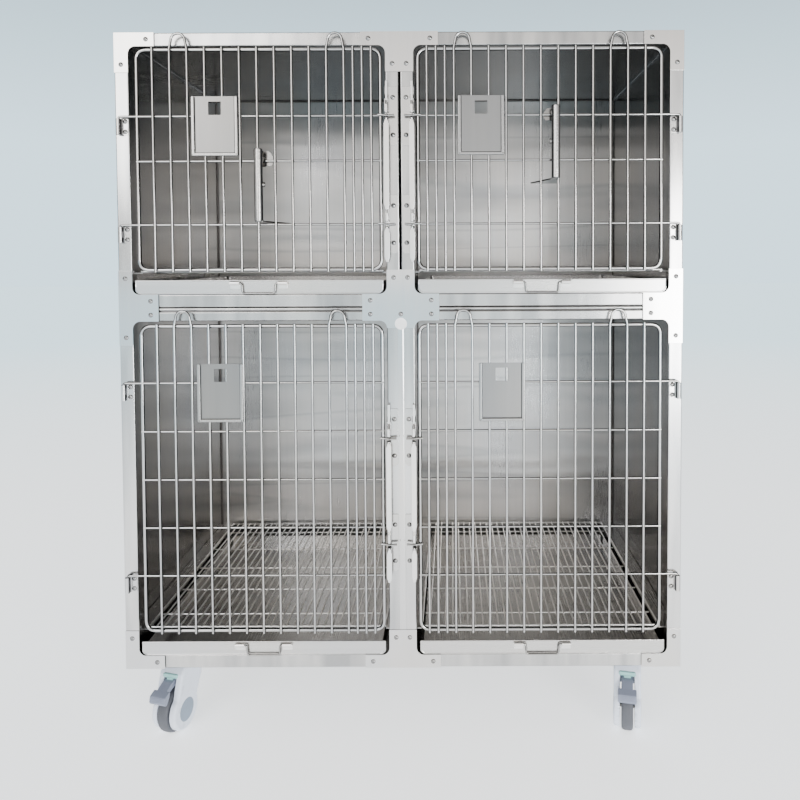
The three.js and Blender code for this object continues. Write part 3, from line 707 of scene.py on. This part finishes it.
def ledge(name, cage, wall_x, edge_x, which, mirror):
    """An angle along the wall that carries the floor grille."""
    t = SHEET / 2
    top = cage["floor"] + RAIL_H + LEDGE_TOP - t
    side = math.copysign(t, edge_x - wall_x)
    section = strip([(wall_x + side, top - 22), (wall_x + side, top), (edge_x, top)], SHEET, 2)
    cabinet_sheet(f"{name}_{which}_ledge", section, (LIP + 1, BACK), "xzy", LONG_GRAIN, mirror=mirror)


def corner_trims(name, cage, mirror):
    """The flange under the ceiling along the outer wall, in a lighter steel than the ceiling as a painted
    highlight along the joint, and dark beads in the two back corners as a painted shade line.
    """
    t = SHEET / 2
    ceiling = HEIGHT - SHEET if cage is UPPER else SPLIT_Z - GAP - SHEET
    wall = -HALF_W + SHEET
    flange_w = 9
    section = strip([(wall + t, ceiling - flange_w), (wall + t, ceiling - t), (wall + flange_w, ceiling - t)],
                    SHEET, 3)
    # Painted highlight: the flange is a lighter steel than the ceiling it runs under.
    cabinet_sheet(f"{name}_ceiling_flange", section, (LIP + 1, BACK - 2), "xzy", BRACKET, mirror=mirror)
    # Painted shade: dark beads along the back corners where the sheets meet.
    bead = Shape()
    bead_r = 1.5
    y = BACK - 4
    foot = cage["floor"] + RAIL_H
    for x in (wall + 2, -SEAM - SHEET - 2):
        bead.tube([(x, y, foot), (x, y, ceiling)], bead_r, 8)
    bead.tube([(wall + 1, y, ceiling - 2), (-SEAM - SHEET - 1, y, ceiling - 2)], bead_r, 8)
    bead.piece(f"{name}_back_corner_shade_beads", "cabinet", "grey_plastic", CORNER_SHADE_BEAD, mirror=mirror)


def hinge_leaf(name, z, mirror):
    """A leaf riveted to the post, rolled into a barrel for the door's pin."""
    axis_x = -1000 * abs(JOINTS["lower_left_door_hinge"]["pos_m"][0])
    barrel = arc(axis_x, CROSS_Y, 4.8, 42, -285, 22)
    section = strip([(axis_x + 18, -0.75), (axis_x + 7, -0.75), (axis_x + 4.3, -3.0), *barrel], 1.2, 1.5, 3)
    cabinet_sheet(name, section, (z - HINGE_DROP - 2, z - 3.8), "xyz", HARDWARE, mirror=mirror, edge=0.4)
    rivets(name, [(axis_x + 12, z - drop) for drop in (9, 31)], PLATE_FRONT + 0.2, mirror)


def inner_wall(name, cage, mirror):
    """The wall on the centre plane with its half of the centre post, and the latch guides."""
    t = SHEET / 2
    section = strip([(-SEAM - t, BACK), (-SEAM - t, t), (-POST_W + t, t), (-POST_W + t, LIP)], SHEET, 2)
    cabinet_sheet(f"{name}_inner_wall_and_post", section, wall_levels(cage), "xyz", WALL,
                  [f"{name}_inner_wall"], mirror)
    ledge(name, cage, -SEAM - SHEET, -LEDGE_REACH + 2, "inner", mirror)
    for place, z in zip(("low", "high"), cage["pins"]):
        latch_guide(f"{name}_latch_guide_{place}", z, cage is UPPER, mirror)


def latch_guide(name, z, upper, mirror):
    """A riveted bracket whose two notched wings hold the latch bar and take the door's pin."""
    half = 63
    notch = 7
    front = -13.5
    plate_end = -SEAM - 2 if upper else -7.5
    wing_t = 1.2
    wing_x = (LATCH_X + 2.8, LATCH_X - 2.8 - wing_t)
    wing = fillet([(-0.5, z - half + 16), (front, z - half + 27), (front, z - notch), (-7, z - notch),
                   (-7, z + notch), (front, z + notch), (front, z + half - 27), (-0.5, z + half - 16)], 3, 3)
    plate = fillet([(wing_x[1], z - half), (plate_end - 5, z - half), (plate_end, z - half + 6),
                    (plate_end, z + half), (wing_x[1], z + half)], 2, 3, closed=True)
    shape = Shape()
    shape.prism(plate, PLATE_FRONT, -0.1, "xzy", edge=0.5)
    for x in wing_x:
        shape.prism(wing, x, x + wing_t, "yzx", edge=0.4)
    shape.piece(name, "cabinet", "polished_steel", HARDWARE, mirror=mirror)
    rivets(name, [((wing_x[0] + plate_end) / 2, z + rise) for rise in (-40, 40)], mirror=mirror)


# ---- Doors ----
def upright_places():
    """The uprights' places: evenly spread, and closer together towards the latch."""
    wide = [RIM_OUTER_X + UPRIGHT_START + i * UPRIGHT_PITCH for i in range(WIDE_UPRIGHTS)]
    return wide + [wide[-1] + (i + 1) * CLOSE_PITCH for i in range(CLOSE_UPRIGHTS)]


def door(name, cage, mirror):
    """A wire door: rim, cross wires with hinge pins, uprights with two loops, latch pins and welds."""
    low_box = node_box(f"{name}_door")[0]
    low, high = low_box.z + 5, cage["top"] - DOOR_DROP
    body = f"{name}_door"
    uprights = upright_places()
    rim = Shape()
    outline = rounded_rectangle(RIM_OUTER_X, RIM_INNER_X, low, high, RIM_CORNER, 8)
    rim.tube([(x, RIM_Y, z) for x, z in outline], RIM_R, 16, closed=True)
    rim.piece(f"{name}_door_rim", body, "wire_steel", WIRE, [f"{name}_door"], mirror)

    cross = Shape()
    hinge_x = -1000 * abs(JOINTS[f"{name}_door_hinge"]["pos_m"][0])
    for z in cage["cross"]:
        inner = RIM_INNER_X + 3
        if z in cage["hinges"]:
            path = [(hinge_x, CROSS_Y, z - HINGE_DROP), (hinge_x, CROSS_Y, z), (inner, CROSS_Y, z)]
            path = fillet(path, 6, 6)
        else:
            path = [(RIM_OUTER_X - 3, CROSS_Y, z), (inner, CROSS_Y, z)]
        cross.tube(path, WIRE_R)
    cross.piece(f"{name}_door_cross_wires", body, "wire_steel", WIRE, mirror=mirror)

    wires = Shape()
    looped = {start + step for start in LOOP_STARTS for step in (0, 1)}
    for i, x in enumerate(uprights):
        if i in looped:
            continue
        wires.tube([(x, UPRIGHT_Y, low - 5), (x, UPRIGHT_Y, high + 5)], UPRIGHT_R)
    for start in LOOP_STARTS:
        wires.tube(loop_path(uprights[start], uprights[start + 1], low - 5, high), UPRIGHT_R)
    wires.piece(f"{name}_door_uprights", body, "wire_steel", WIRE, mirror=mirror)

    pins = Shape()
    for z in cage["pins"]:
        pins.tube(fillet([(RIM_INNER_X - 6, UPRIGHT_Y + 1, z + 1.2), (RIM_INNER_X + 4, UPRIGHT_Y, z + 0.8),
                          (LATCH_X + 3, UPRIGHT_Y, z - 0.8), (-10.5, UPRIGHT_Y, z + 0.2)], 10, 4), WIRE_R)
    pins.piece(f"{name}_door_latch_pins", body, "wire_steel", WIRE, mirror=mirror)

    welds = Shape()
    for x in uprights:
        for z in cage["cross"]:
            welds.blob((x, (CROSS_Y + UPRIGHT_Y) / 2, z), (3.1, 1.2, 3.1))
        for z in (low, high):
            welds.blob((x, (CROSS_Y + UPRIGHT_Y) / 2, z), (3.3, 1.2, 3.3))
    welds.piece(f"{name}_door_welds", body, "wire_steel", WELD, mirror=mirror)


def loop_path(x0, x1, low, rim):
    """An inverted U over the rim that joins two uprights."""
    lean = 3.5
    straight = 18
    shoulder = rim + straight
    radius = (x1 - x0) / 2 - lean
    crown = arc((x0 + x1) / 2, shoulder, radius, 180, 0, 12)
    line = [(x0, low), (x0, rim + 1), *crown, (x1, rim + 1), (x1, low)]
    squash = (LOOP_RISE - straight) / radius
    return [(x, UPRIGHT_Y, shoulder + (z - shoulder) * squash if z > shoulder else z) for x, z in line]


def card_holder(name, mirror):
    """A folded plate with a thumb window, whose side and bottom edges grip a card."""
    low, high = node_box(f"{name}_card_holder")
    back = high.y - FACE
    front = low.y - FACE
    x0, x1 = sorted((-abs(low.x), -abs(high.x)))
    z0, z1 = low.z, high.z
    mid = (x0 + x1) / 2
    shape = Shape()
    window = rounded_rectangle(mid - 13.5, mid + 13.5, z1 - 39, z1 - 11, 1.5, 3)
    shape.prism(rounded_rectangle(x0, x1, z0, z1, 3, 4), back - 1, back, "xzy", holes=[window], edge=0.25)
    shape.piece(f"{name}_card_holder_plate", f"{name}_door", "card_steel", CARD, [f"{name}_card_holder"],
                mirror)
    lips = Shape()
    t = 0.5
    for edge_x, inward in ((x0 + t, 1), (x1 - t, -1)):
        section = strip([(edge_x, back - t), (edge_x, front + t), (edge_x + inward * 5.5, front + t),
                         (edge_x + inward * 7, front + 2.4)], 1, 1.4)
        lips.prism(section, z0 + 1.5, z1 - 1, "xyz", edge=0.2)
    section = strip([(back - t, z0 + t), (front + t, z0 + t), (front + t, z0 + 5.5), (front + 2.4, z0 + 7)],
                    1, 1.4)
    lips.prism(section, x0 + 1.5, x1 - 1.5, "yzx", edge=0.2)
    lips.piece(f"{name}_card_holder_lips", f"{name}_door", "card_steel", CARD_LIP, mirror=mirror)


# ---- Latch bars and door brackets ----
def latch_bar(name, cage, mirror):
    """A bar with a wide front face, whose two noses drop in front of the door's pins.

    It is drawn lifted, as in the frame, so that the pins are free.
    """
    low_pin, high_pin = cage["pins"]
    low_box, high_box = node_box(f"{name}_latch_bar")
    front, back = low_box.y - FACE, high_box.y - FACE
    lip, spine = front + 5, front + 12.5
    bottom, top = low_box.z, high_box.z

    def hook(pin):
        return [(front, pin + 22), (front, pin + 5), (lip, pin + 5), (lip, pin + 16), (spine, pin + 16),
                (spine, pin - 5.5), (front + 2.5, pin - 5.5)]

    outline = [(back, bottom), (back, top), (-12, top), (-12, high_pin + 32), *hook(high_pin),
               (front + 2.5, low_pin + 30), *hook(low_pin), (front + 2.5, bottom)]
    web = fillet(outline, 1.6, 3, closed=True)
    shape = Shape()
    shape.prism(web, LATCH_X - 2.45, LATCH_X + 2.45, "yzx", edge=0.7, segments=3)
    for z0, z1 in ((bottom + 1, low_pin - 9), (low_pin + 30, high_pin - 9)):
        left, right = LATCH_X - 5.6, LATCH_X + 5.6
        face = [(LATCH_X - 2.4, z0), (LATCH_X + 2.4, z0), (right, z0 + 12), (right, z1 - 10),
                (LATCH_X + 2.2, z1), (LATCH_X - 2.2, z1), (left, z1 - 10), (left, z0 + 12)]
        shape.prism(fillet(face, 4, 4, closed=True), front, front + 3.4, "xzy", edge=1.3, segments=4)
        shape.blob((LATCH_X, front + 2.9, z1 + 1.4), (2.9, 2.8, 2.9))
    shape.piece(f"{name}_latch_bar_formed", f"{name}_latch", "wire_steel", BAR, [f"{name}_latch_bar"], mirror)


def door_bracket(name, x, low, hook_z, rod_x, mirror):
    """A round upright that hangs on the door, with a side screw and a foot that reaches into the cage.

    x is the tube's centre and rod_x the upright wire beside it, both from the centre plane. low is the foot's
    height. A plate beside the tube carries a claw over the cross wire at hook_z.
    """
    radius = 9
    tube_y = node_box(f"{name}_door_bracket")[0].y - FACE + radius
    high = low + 154
    body = f"{name}_door"
    clear = -rod_x + 3.25
    right = max(clear + 11, -x + radius)
    tube = Shape()
    crown = [(radius, high - 3), (8.2, high - 0.8), (6.5, high), (5.8, high - 0.6), (5.6, high - 9),
             (0, high - 9)]
    tube.lathe([(0, low), (7.6, low), (radius, low + 1.4), *crown], Matrix.Translation((-x, tube_y, 0)), 36)
    tube.piece(f"{name}_bracket_tube", body, "brushed_steel", BRACKET, [f"{name}_door_bracket"], mirror)
    fittings = Shape()
    reach = 86
    foot = [(-x - 8, tube_y - 4), (right, tube_y - 4), (right, -4), (-x + 44, reach), (-x - 18, reach),
            (clear - 6, 6), (clear, -2), (clear, tube_y + 8), (-x - 8, tube_y + 8)]
    fittings.prism(fillet(foot, 4, 4, closed=True), low - 1, low + 2, "xyz", edge=0.5)
    plate_w = 28
    plate = [(clear, hook_z - 11), (clear + plate_w - 4, hook_z - 11), (clear + plate_w, hook_z - 4),
             (clear + plate_w, high - 14), (clear + plate_w - 8, high - 3), (clear, high - 3)]
    fittings.prism(fillet(plate, 3, 3, closed=True), -5.4, -3.2, "xzy", edge=0.5)
    fittings.slab(-x - 6, right, tube_y + 5, -3.4, high - 7, high - 4, edge=0.6)
    claw = strip([(tube_y + 2, hook_z + 5.75), (-3, hook_z + 5.75), (-3, hook_z - 12)], 2, 3, 4)
    fittings.prism(claw, clear, right, "yzx", edge=0.4)
    fittings.slab(-x - radius, right, tube_y + 4, tube_y + 6.5, hook_z - 2, hook_z + 6.6, edge=0.6)
    screw = Matrix.Translation((-x + 8, tube_y, low + 78)) @ Matrix.Rotation(math.pi / 2, 4, "Y")
    head = [(0, -1), (3, -1), (3, 2), (5.4, 2), (5.4, 4.4), (4.6, 5.6), (2.4, 6), (2.2, 5), (0, 5)]
    fittings.lathe(head, screw, 20)
    fittings.piece(f"{name}_bracket_claw_and_foot", body, "brushed_steel", FITTING, mirror=mirror)


# ---- Trays and floor grilles ----
def span(low, high, mirror):
    """A node's reach along x, as drawn on the left side of the bank."""
    return (-high.x, -low.x) if mirror else (low.x, high.x)


def tray(name, mirror):
    """A shallow pan with a hemmed front, two rolled lugs and a wire bail."""
    low, high = node_box(f"{name}_tray")
    x0, x1 = span(low, high, mirror)
    floor, top = low.z, high.z
    back = high.y - FACE
    body = f"{name}_tray"
    mid = (x0 + x1) / 2
    front = Shape()
    face = [*arc(x0 + 13, floor + 14, 13.9, 180, 270, 8), *arc(x1 - 13, floor + 14, 13.9, 270, 360, 8)]
    face = [(min(max(x, x0), x1), max(z, floor)) for x, z in face]
    front.prism([*face, (x1, top - 1.2), (x0, top - 1.2)], 0.4, 1.5, "xzy", edge=0.3)
    front.tube([(x0 + 0.3, 0.7, top - 1.7), (x1 - 0.3, 0.7, top - 1.7)], 1.65, 12)
    edge = [(x0 + 0.9, top - 3), (x0 + 0.9, floor + 15), *arc(x0 + 13.9, floor + 14.9, 13, 180, 270, 8)[1:],
            *arc(x1 - 13.9, floor + 14.9, 13, 270, 360, 8), (x1 - 0.9, top - 3)]
    front.tube([(x, 0.9, z) for x, z in edge], 0.9, 8)
    front.piece(f"{name}_tray_front", body, "brushed_steel", TRAY, [f"{name}_tray"], mirror)

    pan = Shape()
    wall_h = 25
    outer = rounded_rectangle(x0 + 8, x1 - 8, 1.5, back, 10)
    inner = rounded_rectangle(x0 + 9.2, x1 - 9.2, 2.7, back - 1.2, 9)
    pan.prism(outer, floor, floor + wall_h, "xyz", holes=[inner], edge=0.2)
    bottom = rounded_rectangle(x0 + 8.4, x1 - 8.4, 1.9, back - 0.4, 9.6)
    pan.prism(bottom, floor, floor + 1.2, "xyz", edge=0.2)
    rim = rounded_rectangle(x0 + 8.6, x1 - 8.6, 3.2, back - 0.6, 9.4)
    pan.tube([(x, y, floor + wall_h - 0.3) for x, y in rim], 1.3, 8, closed=True)
    pan.piece(f"{name}_tray_pan", body, "brushed_steel", LONG_GRAIN, mirror=mirror)

    axis = top - LUG_DROP
    lugs = Shape()
    roll = strip([(-0.2, axis - 12), (-0.2, axis - 3), *arc(LUG_Y, axis, 4.0, -20, 265, 18)], 1.1, 1, 3)
    for side in (-1, 1):
        ends = sorted((mid + side * (BAIL_HALF + 2), mid + side * (BAIL_HALF + 2 + LUG_W)))
        lugs.prism(roll, *ends, "yzx", edge=0.2)
    lugs.piece(f"{name}_tray_lugs", body, "brushed_steel", LUG, mirror=mirror)

    bail = Shape()
    half = BAIL_HALF - 4
    end = BAIL_HALF + 17
    path = [(-end, axis), (-half, axis), (-half + 1, axis - BAIL_DROP), (half - 1, axis - BAIL_DROP),
            (half, axis), (end, axis)]
    bail.tube(fillet([(mid + x, LUG_Y, z) for x, z in path], 6, 6), 2, 12)
    bail.piece(f"{name}_bail_wire", f"{name}_bail", "wire_steel", BAIL, [f"{name}_tray_bail"], mirror)


def floor_grille(name, mirror):
    """Wires from front to back on cross bars, which rest on the ledges."""
    low, high = node_box(f"{name}_floor_grille")
    x0, x1 = span(low, high, mirror)
    y0, y1 = low.y - FACE, high.y - FACE
    radius = 2
    z = high.z - radius
    shape = Shape()
    for i in range(GRILLE_WIRES):
        x = x0 + radius + i * (x1 - x0 - 2 * radius) / (GRILLE_WIRES - 1)
        shape.tube([(x, y0, z), (x, y1, z)], radius, 10)
    for y in (y0 + 3, y1 - 3):
        shape.tube([(x0, y, z - 0.4), (x1, y, z - 0.4)], 2.1, 10)
    clear = LEDGE_REACH - 35
    first = 70
    for i in range(GRILLE_BARS):
        y = y0 + first + i * (y1 - y0 - 2 * first) / (GRILLE_BARS - 1)
        shape.tube([(x0 + clear, y, z - 3.6), (x1 - clear, y, z - 3.6)], radius, 10)
    shape.piece(f"{name}_floor_grille_wires", f"{name}_grille", "wire_steel", GRILLE,
                [f"{name}_floor_grille"], mirror)


# ---- Casters ----
def carve(target, *cutters):
    """Cuts closed shapes out of a piece and softens the new edges."""
    for cutter in cutters:
        mesh = bpy.data.meshes.new("cutter")
        cutter.bm.to_mesh(mesh)
        tool = add_object("cutter", mesh)
        cut = target.modifiers.new("cut", "BOOLEAN")
        cut.operation = "DIFFERENCE"
        cut.object = tool
        apply_modifiers(target)
        bpy.data.objects.remove(tool)
    soften = target.modifiers.new("soften", "BEVEL")
    soften.width = 0.0009
    soften.segments = 3
    soften.limit_method = "ANGLE"
    soften.angle_limit = math.radians(50)
    apply_modifiers(target)
    target.data.shade_smooth()
    target.data.set_sharp_from_angle(angle=math.radians(45))


def apply_modifiers(target):
    bpy.context.view_layer.update()
    evaluated = target.evaluated_get(bpy.context.evaluated_depsgraph_get())
    mesh = bpy.data.meshes.new_from_object(evaluated)
    target.modifiers.clear()
    target.data = mesh


def caster(name):
    """A caster at its swivel's place, turned as its wheel's axle is; the front two have a pedal."""
    swivel, roll = JOINTS[f"{name}_caster_swivel"], JOINTS[f"{name}_caster_roll"]
    x, y, _ = (1000 * value for value in swivel["pos_m"])
    turn = math.atan2(roll["axis"][1], roll["axis"][0])
    place = Matrix.Translation((x, y - FACE, 0)) @ Matrix.Rotation(turn, 4, "Z")
    braked = f"{name}_brake_press" in JOINTS
    housing(name, place, braked)
    hub_discs(name, place)
    wheel(name, place)
    if braked:
        pedal(name, place)
        release_tab(name, place)


def to_wheel(place, x=0.0):
    """Turns local Z into the wheel's axle."""
    return place @ Matrix.Translation((x, -TRAIL, WHEEL_R)) @ Matrix.Rotation(math.pi / 2, 4, "Y")


def housing(name, place, braked):
    """A white moulded shell: two teardrop covers joined over the wheel, with a cap at the top."""
    half = 30.5
    room = 16.5
    outline = [(-TRAIL - u, v) for u, v in arc(0, WHEEL_R, 44, 160, 410, 22)]
    outline += [(-52, 120), (-47, 134), (-29, HOUSING_TOP), (26, HOUSING_TOP), (28.5, 130), (26, 104)]
    outline = fillet(outline, 7, 3, closed=True)
    shape = Shape()
    shape.prism(outline, -half, half, "yzx", edge=6.5, segments=6)
    shell = shape.piece(f"{name}_caster_shell", f"{name}_swivel", "white_plastic", WHITE,
                        [f"{name}_caster_housing"], place=place, smooth=50)
    wheel_room = Shape()
    wheel_room.lathe([(0, -room), (53, -room), (53, room), (0, room)], to_wheel(place), 64)
    king_hole = Shape()
    king_hole.lathe([(0, 120), (9, 120), (9, 170), (0, 170)], place, 24)
    cutters = [wheel_room, king_hole]
    if braked:
        pocket = Shape()
        pocket.prism(rounded_rectangle(-100, -34, 94, 132, 5), -16.4, 16.4, "yzx", edge=0)
        bmesh.ops.transform(pocket.bm, matrix=place, verts=pocket.bm.verts)
        cutters.append(pocket)
    for cutter in cutters:
        bmesh.ops.transform(cutter.bm, matrix=TO_FRAME, verts=cutter.bm.verts)
        bmesh.ops.recalc_face_normals(cutter.bm, faces=cutter.bm.faces)
    carve(shell, *cutters)
    cap = Shape()
    top = HOUSING_TOP
    cap.lathe([(9.6, top - 1), (23, top - 1), (23, top + 0.6), (24.6, top + 0.9), (25, top + 1.8),
               (24.4, top + 2.5), (9.6, top + 2.6), (9.6, top - 1)], place, 48)
    cap.piece(f"{name}_caster_cap", f"{name}_swivel", "white_plastic", WHITE)
    axle = Shape()
    axle.lathe([(0, -29.5), (4.8, -29.5), (4.8, 29.5), (0, 29.5)], to_wheel(place), 24)
    axle.piece(f"{name}_caster_axle", f"{name}_swivel", "white_plastic", ZINC)


def hub_discs(name, place):
    """The round covers over the axle's two ends."""
    shape = Shape()
    profile = [(0, -1.5), (25.2, -1.5), (25.2, 0.1), (24.6, 0.5), (22, 0.75), (0, 0.8)]
    for side in (-1, 1):
        flip = Matrix.Rotation(math.pi if side < 0 else 0, 4, "X")
        shape.lathe(profile, to_wheel(place, side * 30.3) @ flip, 56)
    shape.piece(f"{name}_caster_hub_discs", f"{name}_swivel", "grey_plastic", HUB)


def even_profile(half):
    """A closed profile that is the same on both sides of the wheel; half runs outwards from the middle."""
    profile = [(radius, -out) for radius, out in half[:0:-1]] + half
    return profile + profile[:1]


def wheel(name, place):
    """A rounded tyre on a core with a sunken web."""
    tyre = Shape()
    tread = [(50, 0), (49.9, 6), (48.9, 10), (46.8, 12.2), (43.5, 12.9), (36, 12.4)]
    tyre.lathe(even_profile(tread), to_wheel(place), 72)
    tyre.piece(f"{name}_caster_tyre", f"{name}_wheel", "grey_tyre", TYRE, [f"{name}_caster_wheel"], smooth=60)
    core = Shape()
    core.lathe([(6.6, -13), (12, -13), (13, -10), (31, -9), (34, -11.4), (36.2, -11.6), (36.2, 11.6),
                (34, 11.4), (31, 9), (13, 10), (12, 13), (6.6, 13), (6.6, -13)], to_wheel(place), 56)
    core.piece(f"{name}_caster_wheel_core", f"{name}_wheel", "grey_tyre", HUB)


def pedal(name, place):
    """A lever that widens into a rounded foot."""
    shape = Shape()
    lever = [(-38, 115), (-38, 121), (-44, 124.5), (-60, 122), (-84, 111), (-88, 99), (-62, 107),
             (-44, 111.5)]
    shape.prism(fillet(lever, 2.5, 4, closed=True), -12.5, 12.5, "yzx", edge=1.8, segments=4)
    foot = [(-76, 114.5), (-96, 107), (-98.5, 94), (-93, 87.5), (-88, 88.5), (-80, 101)]
    shape.prism(fillet(foot, 4, 4, closed=True), -20, 20, "yzx", edge=3.2, segments=5)
    rib = 15
    for z in (97, 100.5, 104):
        y = -97.6 + (z - 97) * 0.12
        shape.tube([(-rib, y, z), (rib, y, z)], 0.7, 8)
    shape.piece(f"{name}_brake_pedal_moulding", f"{name}_pedal", "grey_plastic", PEDAL,
                [f"{name}_brake_pedal"], place=place, smooth=50)


def release_tab(name, place):
    """The mint tab over the pedal."""
    shape = Shape()
    shape.prism(rounded_rectangle(-18.5, 18.5, 126, 135, 3.5), -51.5, -44.5, "xzy", edge=1.6, segments=4)
    shape.prism(rounded_rectangle(-7.5, 7.5, 117.5, 128, 2), -53, -47.5, "xzy", edge=1.2, segments=3)
    shape.piece(f"{name}_brake_release_tab", f"{name}_swivel", "grey_plastic", MINT, place=place, smooth=50)


# ---- The room ----
def light(name, location, target, size, power):
    lamp = bpy.data.lights.new(name, "AREA")
    lamp.shape = "RECTANGLE"
    lamp.size, lamp.size_y = size
    lamp.energy = power
    made = add_object(name, lamp)
    made.location = location
    made.rotation_euler = (Vector(target) - Vector(location)).to_track_quat("-Z", "Y").to_euler()


def studio():
    """A pale floor that glows like the far end of a pale room with soft bands, and two lamps."""
    bm = bmesh.new()
    bmesh.ops.create_grid(bm, x_segments=2, y_segments=2, size=30)
    mesh = bpy.data.meshes.new("studio_floor")
    bm.to_mesh(mesh)
    bm.free()
    floor_material, tree, shader = node_material("pale floor", 0, 0.7, Base_Color=(0.84, 0.87, 0.89, 1))
    away = node(tree, "ShaderNodeVectorMath")
    away.operation = "LENGTH"
    tree.links.new(node(tree, "ShaderNodeTexCoord").outputs["Object"], away.inputs[0])
    far = spread(tree, away.outputs["Value"], 0, 1, 2, 9)
    glow = mix(tree, far, (0.98, 0.99, 1, 1), (0.61, 0.88, 1, 1))
    feed(tree, shader, Emission_Color=glow, Emission_Strength=1.3)
    mesh.materials.append(floor_material)
    floor = add_object("studio_floor", mesh)

    world = bpy.data.worlds.new("studio")
    bpy.context.scene.world = world
    world.use_nodes = True
    tree = world.node_tree
    white = (1, 1, 1, 1)
    up = spread(tree, axis_value(tree, "Generated", "Z"), 0, 1, -1, 1)
    height = greys(tree, up, [(0.0, 1.0), (0.57, 1.0), (0.72, 0.4), (0.93, 0.4), (1.0, 0.6)])
    aside = calculate(tree, "ABSOLUTE", axis_value(tree, "Generated", "X"))
    width = greys(tree, aside, [(0.0, 1.0), (0.36, 0.95), (0.52, 0.26), (0.9, 0.26), (1.0, 0.5)])
    behind = spread(tree, axis_value(tree, "Generated", "Y"), 0, 1, 0.1, 0.5)
    level = mix(tree, 1, height, mix(tree, behind, width, white), "MULTIPLY")
    clouds = noise(tree, 1, (7, 7, 1.6), detail=1, coordinates="Generated")
    panels = mix(tree, behind, greys(tree, clouds, [(0.42, 0.7), (0.56, 1.0)]), white)
    tint = mix(tree, behind, (1.0, 0.985, 0.96, 1), (0.54, 0.72, 0.82, 1))
    around = mix(tree, 1, mix(tree, 1, level, panels, "MULTIPLY"), tint, "MULTIPLY")
    feed(tree, tree.nodes["Background"], Color=around, Strength=2.5)
    light("key", (-1.9, -3.6, 2.6), (0, 0, 0.9), (1.8, 2.4), 80)
    light("fill", (1.9, -3.4, 0.8), (0, 0, 0.5), (1.2, 1.4), 110)


def camera():
    """The camera at the photograph's viewing angle, aimed slightly down."""
    lens = bpy.data.cameras.new("camera")
    lens.sensor_width = 36
    lens.lens = 33.9
    lens.shift_x = -0.065
    lens.shift_y = -0.142
    made = add_object("camera", lens)
    place = Matrix.Translation((0.111, -1.961, 1.0625))
    pitch = Matrix.Rotation(math.radians(90 - 2.05), 4, "X")
    roll = Matrix.Rotation(math.radians(-0.26), 4, "Z")
    made.matrix_world = place @ pitch @ roll
    bpy.context.scene.camera = made


# ---- The bank ----
# Each door bracket's tube x, foot z, hook z and rod x.
BRACKETS = {"upper_left": (298, 1145, 1274.5, 302), "upper_right": (332, 1234, 1370, 339)}

camera()
studio()
module_sheets()
centre_strip()
caster_carriers()
junction_plates()
blank_sticker()
for cage_name, cage_sizes in CAGES.items():
    mirrored = cage_name.endswith("right")
    outer_wall(cage_name, cage_sizes, mirrored)
    inner_wall(cage_name, cage_sizes, mirrored)
    corner_trims(cage_name, cage_sizes, mirrored)
    door(cage_name, cage_sizes, mirrored)
    card_holder(cage_name, mirrored)
    latch_bar(cage_name, cage_sizes, mirrored)
    tray(cage_name, mirrored)
    floor_grille(cage_name, mirrored)
    if cage_name in BRACKETS:
        door_bracket(cage_name, *BRACKETS[cage_name], mirrored)
for caster_name in ("front_left", "front_right", "rear_left", "rear_right"):
    caster(caster_name)
